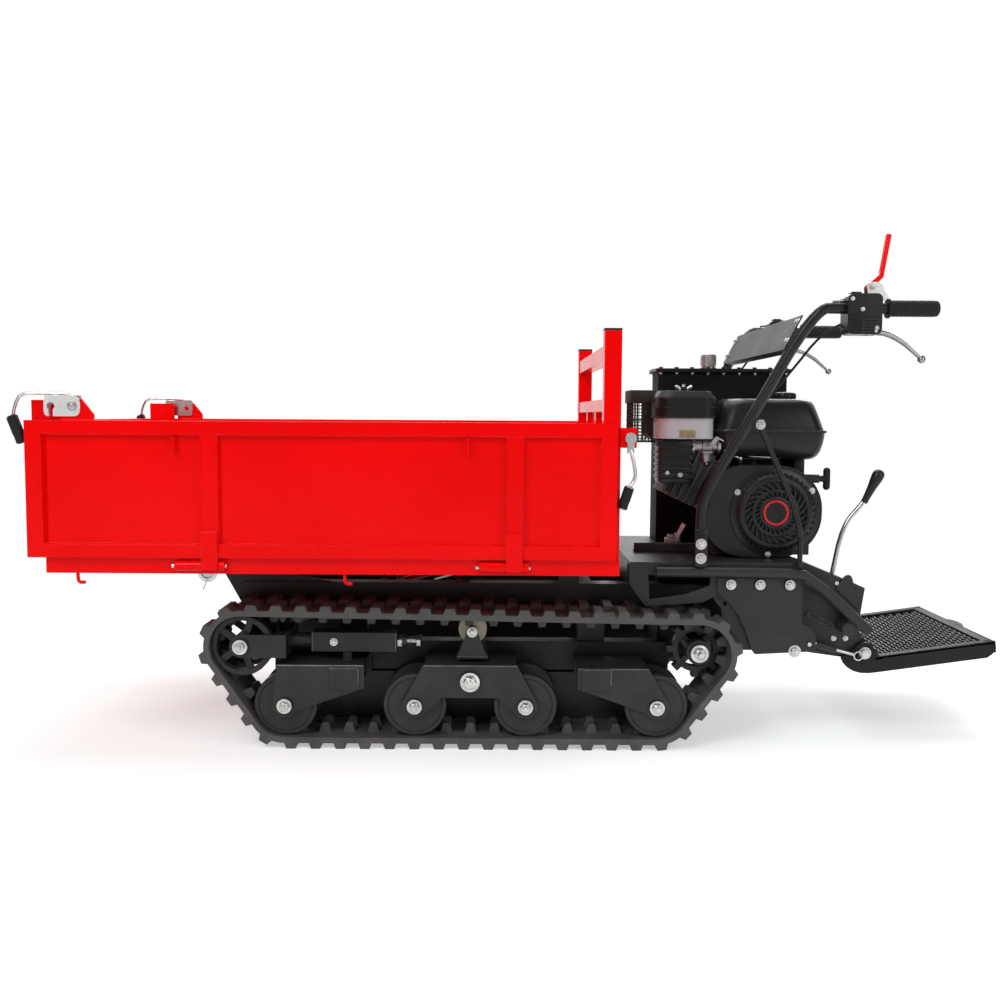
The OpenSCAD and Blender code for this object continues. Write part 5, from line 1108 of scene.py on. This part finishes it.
def frame_sheets():
    """Inner gussets beside the drive, stiffeners at the rear arms and a tray below the deck's well."""
    gusset = [(502, 236), (496, 300), (488, 340), (470, 362), (466, 380), (466, 412), (686, 412), (686, 236)]
    hole = [(498 + 5 * c, 352 + 5 * s) for c, s in circle(16)]
    arm = [(692, 412), (742, 404), (800, 352), (842, 300), (846, 262), (842, 216), (800, 210), (700, 224),
           (692, 300)]
    finger = [(779, 387), (798, 415), (803, 420), (809, 422), (815, 420), (819, 413), (828, 380), (839, 332)]
    bm = bmesh.new()
    for _, s in SIDES:
        sheet_part(bm, gusset, s * 279.6, s * 274.6, [hole])
        sheet_part(bm, arm, s * 233, s * 228.3)
    sheet_part(bm, finger, -256, -250.3)
    soft_box(bm, (372, -68, 441), (568, 108, 446.8), 1)
    add_piece("frame_sheets", bm, "root", BLACK_POWDER, 30)


def guard_and_shade_plates():
    """Guard plates below the two beams, which reach down close to the floor as painted shade that hides the
    lit floor between the tracks, and the bright tension screws with their nuts.
    """
    # The plates' low edge at 20 mm over the floor is painted shade under the machine.
    guard = [(-628, 156), (-628, 104), (-592, 46), (-568, 20), (302, 20), (328, 46), (352, 104), (352, 156)]
    bm = bmesh.new()
    for _, s in SIDES:
        sheet_part(bm, guard, s * 165, s * 161)
    add_piece("guard_and_shade_plates", bm, "root", BLACK_POWDER, 30)
    thread = [(0, 0)]
    for k in range(28):
        thread += [(9.3, 2.2 * k), (10.1, 2.2 * k + 1.1)]
    thread += [(9.3, 62.4), (0, 62.4)]
    nut = [(0, 0), (16, 0), (17, 0.9), (17, 12), (16, 13), (0, 13)]
    lock_nut = [(0, 0), (15.4, 0), (16.4, 0.9), (16.4, 10), (15, 11.4), (0, 11.4)]
    turnings = [(profile, (x, s * TRACK_Y, TENSION_Z), ALONG, steps) for _, s in SIDES
                for profile, x, steps in ((thread, -317, 20), (nut, -314, 6), (lock_nut, -266, 6))]
    turned_piece("tension_screws", turnings, ZINC, 30)


def fold_piece(name, spans, body):
    """Thin light rods along folds as painted highlights, each given by its two ends and its radius."""
    bm = bmesh.new()
    for start, end, radius in spans:
        sweep(bm, [start, end], radius, 12)
    add_piece(name, bm, body, PAINTED_FOLD_HIGHLIGHT)


def plate_folds():
    """Painted highlights on thin rods along the top edges of the outer roller plates."""
    for side, s in SIDES:
        y = s * 338
        spans = [((x0, y, z), (x1, y, z), 1.8) for x0, x1, z in ((-600, -389, 204), (133, 304, 199))]
        fold_piece(f"plate_folds_{side}", spans, "root")
        fold_piece(f"bogie_fold_{side}", [((-244, y, 205), (-16, y, 205), 1.8)], f"bogie_{side}")


def slotted_bracket():
    """Bright slotted strip on the near rear stiffener."""
    low, high = Vector((714, 0, 322)), Vector((786, 0, 284))
    course = (high - low).normalized()
    across = Vector((-course.z, 0, course.x))
    strip = (low - across * 8, high - across * 8, high + across * 8, low + across * 8)
    loops = [strip]
    for k in range(5):
        middle = low + course * (12 + 14 * k)
        loops.append([middle + course * 4.8 * c + across * 3.2 * s for c, s in circle(14)])
    outline, *slots = [[(p.x, p.z) for p in loop] for loop in loops]
    bm = bmesh.new()
    sheet_part(bm, outline, -235.2, -232.8, slots)
    add_piece("slotted_bracket", bm, "root", CAST, 30)


def strut_ends():
    """Bright ball and stud at the strut's front end."""
    front = Vector((705, -258, 254.5))
    course = Vector((838, -258, 218)) - front
    bm = bmesh.new()
    ball(bm, front, 11.2)
    lathe(bm, [(5, 8), (5, 20), (8.6, 20.4), (8.6, 26), (5, 26.4)], front, course, 20)
    add_piece("strut_ball", bm, "strut_tube", ZINC, 40)


# Small parts of the engine, oil tank and deck
def carburettor():
    """Throttle body, float bowl, choke lever and governor link between the air cleaner and the tank."""
    throat = [(0, 0), (25, 0), (25, 6), (18, 7), (17, 26), (20, 28), (20, 52), (16, 54), (16, 66), (23, 67),
              (23, 74), (0, 74)]
    bowl = [(0, 0), (19, 0), (19.6, 3), (18, 5), (17, 20), (14, 27), (5, 29), (5, 34), (0, 34)]
    spindle = [(0, 0), (5, 0), (5, 8), (3, 9), (3, 15), (0, 15)]
    choke = [(478, 738), (490, 736), (505, 756), (500, 762), (494, 760)]
    bm = bmesh.new()
    lathe(bm, throat, (437, -104, 736), ALONG, 32)
    lathe(bm, bowl, (477, -112, 722), (0, 0, -1), 28)
    lathe(bm, spindle, (484, -122, 742), OUT_LEFT, 16)
    sheet_part(bm, choke, -134, -131.6)
    add_piece("carburettor", bm, "root", ALLOY, 40)
    link = [(503, -133, 757), (530, -133, 742), (560, -130, 712), (640, -128, 708)]
    spring = [(0, 0), (3.4, 0), (4.2, 3), (4.2, 40), (3.4, 43), (0, 43)]
    bm = bmesh.new()
    sweep(bm, smooth_route(link), 2, 10)
    lathe(bm, spring, (520, -126, 727), (0.86, 0, -0.5), 14)
    add_piece("governor_link", bm, "root", ZINC, 40)
    feet = [((x, -134, 690), (x + 10, -126, 704), 1.2) for x in (556, 642)]
    bar = ((548, -136, 703), (662, -124, 707), 1.2)
    box_piece("governor_bracket", [bar, *feet], BLACK_GLOSS, 40)
    spots = ((406, -132.4, 661, 6), (372, -132.4, 668, 5), (560, -136.2, 705, 3.5), (648, -136.2, 705, 3.5))
    rows = [((x, y, z), OUT_LEFT, size) for x, y, z, size in spots]
    fasteners("engine_bolts", rows, Stub=0.05, Washer=1.25)


GUARD_LOW = (295, -2.6, 743)
GUARD_HIGH = (420, 124.6, 881)


def guard_wires(name, routes, count, step):
    """A row of copies of thin wires."""
    bm = bmesh.new()
    for route in routes:
        sweep(bm, route, 1.0, 6)
    settings = {"Count": count, "Step": at(*step), "Finish": HOT_BLACK}
    grown(name, mesh_of(name, bm), ROWS, settings, "root")


def muffler_basket():
    """Fine wires between the bars of the muffler's guard, and the sheet hood round its top."""
    (x0, y0, z0), (x1, y1, z1) = GUARD_LOW, GUARD_HIGH
    low = z0 + 8
    flat = [[(x1, y0, low), (x0 + 2, y0, low)], [(x0, y0, low), (x0, y1, low)],
            [(x0 + 2, y1, low), (x1, y1, low)]]
    guard_wires("guard_wires_flat", flat, 12, (0, 0, 9))
    guard_wires("guard_wires_sides", [[(x0 + 6, y, z0), (x0 + 6, y, z1)] for y in (y0, y1)], 13, (9.6, 0, 0))
    guard_wires("guard_wires_front", [[(x0, y0 + 6, z0), (x0, y0 + 6, z1)]], 13, (0, 9.6, 0))
    plans = ((291, -5.6, 424, -3.4), (290.2, -5.6, 292.4, 127.6), (291, 125.4, 424, 127.6))
    hood = [((xa, ya, 848), (xb, yb, 882.4), 0.9) for xa, ya, xb, yb in plans]
    box_piece("guard_hood", hood, HOT_BLACK, 30)


def oil_gauge():
    """Level gauge and drain plug on the outer wall of the oil tank."""
    low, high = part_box("hydraulic_tank")
    x = (low[0] + high[0]) / 2 / MM
    y = high[1] / MM
    drain = (x + 60, y, low[2] / MM + 45)
    case = ((x - 16, y - 1, 640), (x + 16, y + 8, 796), 5)
    glass = ((x - 8, y + 4, 660), (x + 8, y + 10.5, 776), 3)
    box_piece("oil_gauge_frame", [case], BLACK_GLOSS, 40)
    box_piece("oil_gauge_glass", [glass], BOWL, 40)
    rows = [((x, y + 8, 650), ACROSS, 6.5), ((x, y + 8, 786), ACROSS, 6.5), (drain, ACROSS, 12)]
    fasteners("oil_tank_bolts", rows, Stub=0.1)


DECK_Z = 455


def deck_fittings():
    """Valve block with its hose fittings in front of the engine, and the flat rail beside it on the deck."""
    block = [((386, -48, DECK_Z), (426, -12, 487), 2.5), ((392, -42, 486), (412, -18, 496), 2)]
    box_piece("valve_block", block, ALLOY)
    nipple = [(0, 0), (10, 0), (11, 1), (11, 11), (10, 12), (7.5, 12.6), (7.5, 30), (8.4, 31), (8.4, 44),
              (0, 44)]
    plug = [(0, 0), (8.4, 0), (9.2, 0.8), (9.2, 7), (8.4, 8), (0, 8)]
    fittings = [(nipple, (416, -30, 485), (0.5, 0, 0.87), 6)]
    fittings += [(plug, (x, -47.6, 470), OUT_LEFT, 6) for x in (398, 416)]
    turned_piece("valve_fittings", fittings, ZINC, 30)
    rail = [((296, -78, DECK_Z), (470, -72, 478), 1), ((296, -78, DECK_Z), (470, -52, DECK_Z + 4), 1)]
    box_piece("deck_rail", rail, BLACK_POWDER)
    # A light rod along the rail's top edge as a painted highlight.
    fold_piece("deck_rail_fold", [((298, -77, 477.2), (468, -77, 477.2), 1.6)], "root")


def console_fixings():
    """Bolts that hold the folded console to the two handle tubes, and one on each chain tensioner."""
    lean = (-0.886, 0, 0.463)
    rows = [((x, s * 335, z), lean, 6.5) for _, s in SIDES for x, z in ((642.9, 1037.4), (619.4, 992.4))]
    fasteners("console_bolts", rows, Stub=0.25)
    fasteners("tensioner_bolts", side_rows([(-470, 281.2, TENSION_Z, 7)]), Stub=0.2)


def filler_cap_knurl():
    """Ribs round the bright filler cap."""
    _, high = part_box("filler_cap")
    top = high[2] / MM
    grown("filler_cap_ribs", vane_mesh(20.4, 22.4, 0, 1.1, top - 30, top - 4), WHEEL,
          {"Count": 30, "Finish": ZINC}, "filler_cap",
          place=Matrix.Translation(at(*FILLER_SPOT)))


handle_tubes()
latch_grips()
recoil_starter()
wing_nut()
air_cleaner_trim()
fuel_tank()
tank_nuts()
steering_levers()
pod_details()
grip_sleeves()
riding_step()
frame_fixings()
frame_welds()
bed_pivot_fixings()
rope_hooks()
latch_cheeks()
shift_lever()
drive_lever_bracket()
frame_sheets()
guard_and_shade_plates()
plate_folds()
slotted_bracket()
strut_ends()
carburettor()
muffler_basket()
oil_gauge()
deck_fittings()
console_fixings()
filler_cap_knurl()
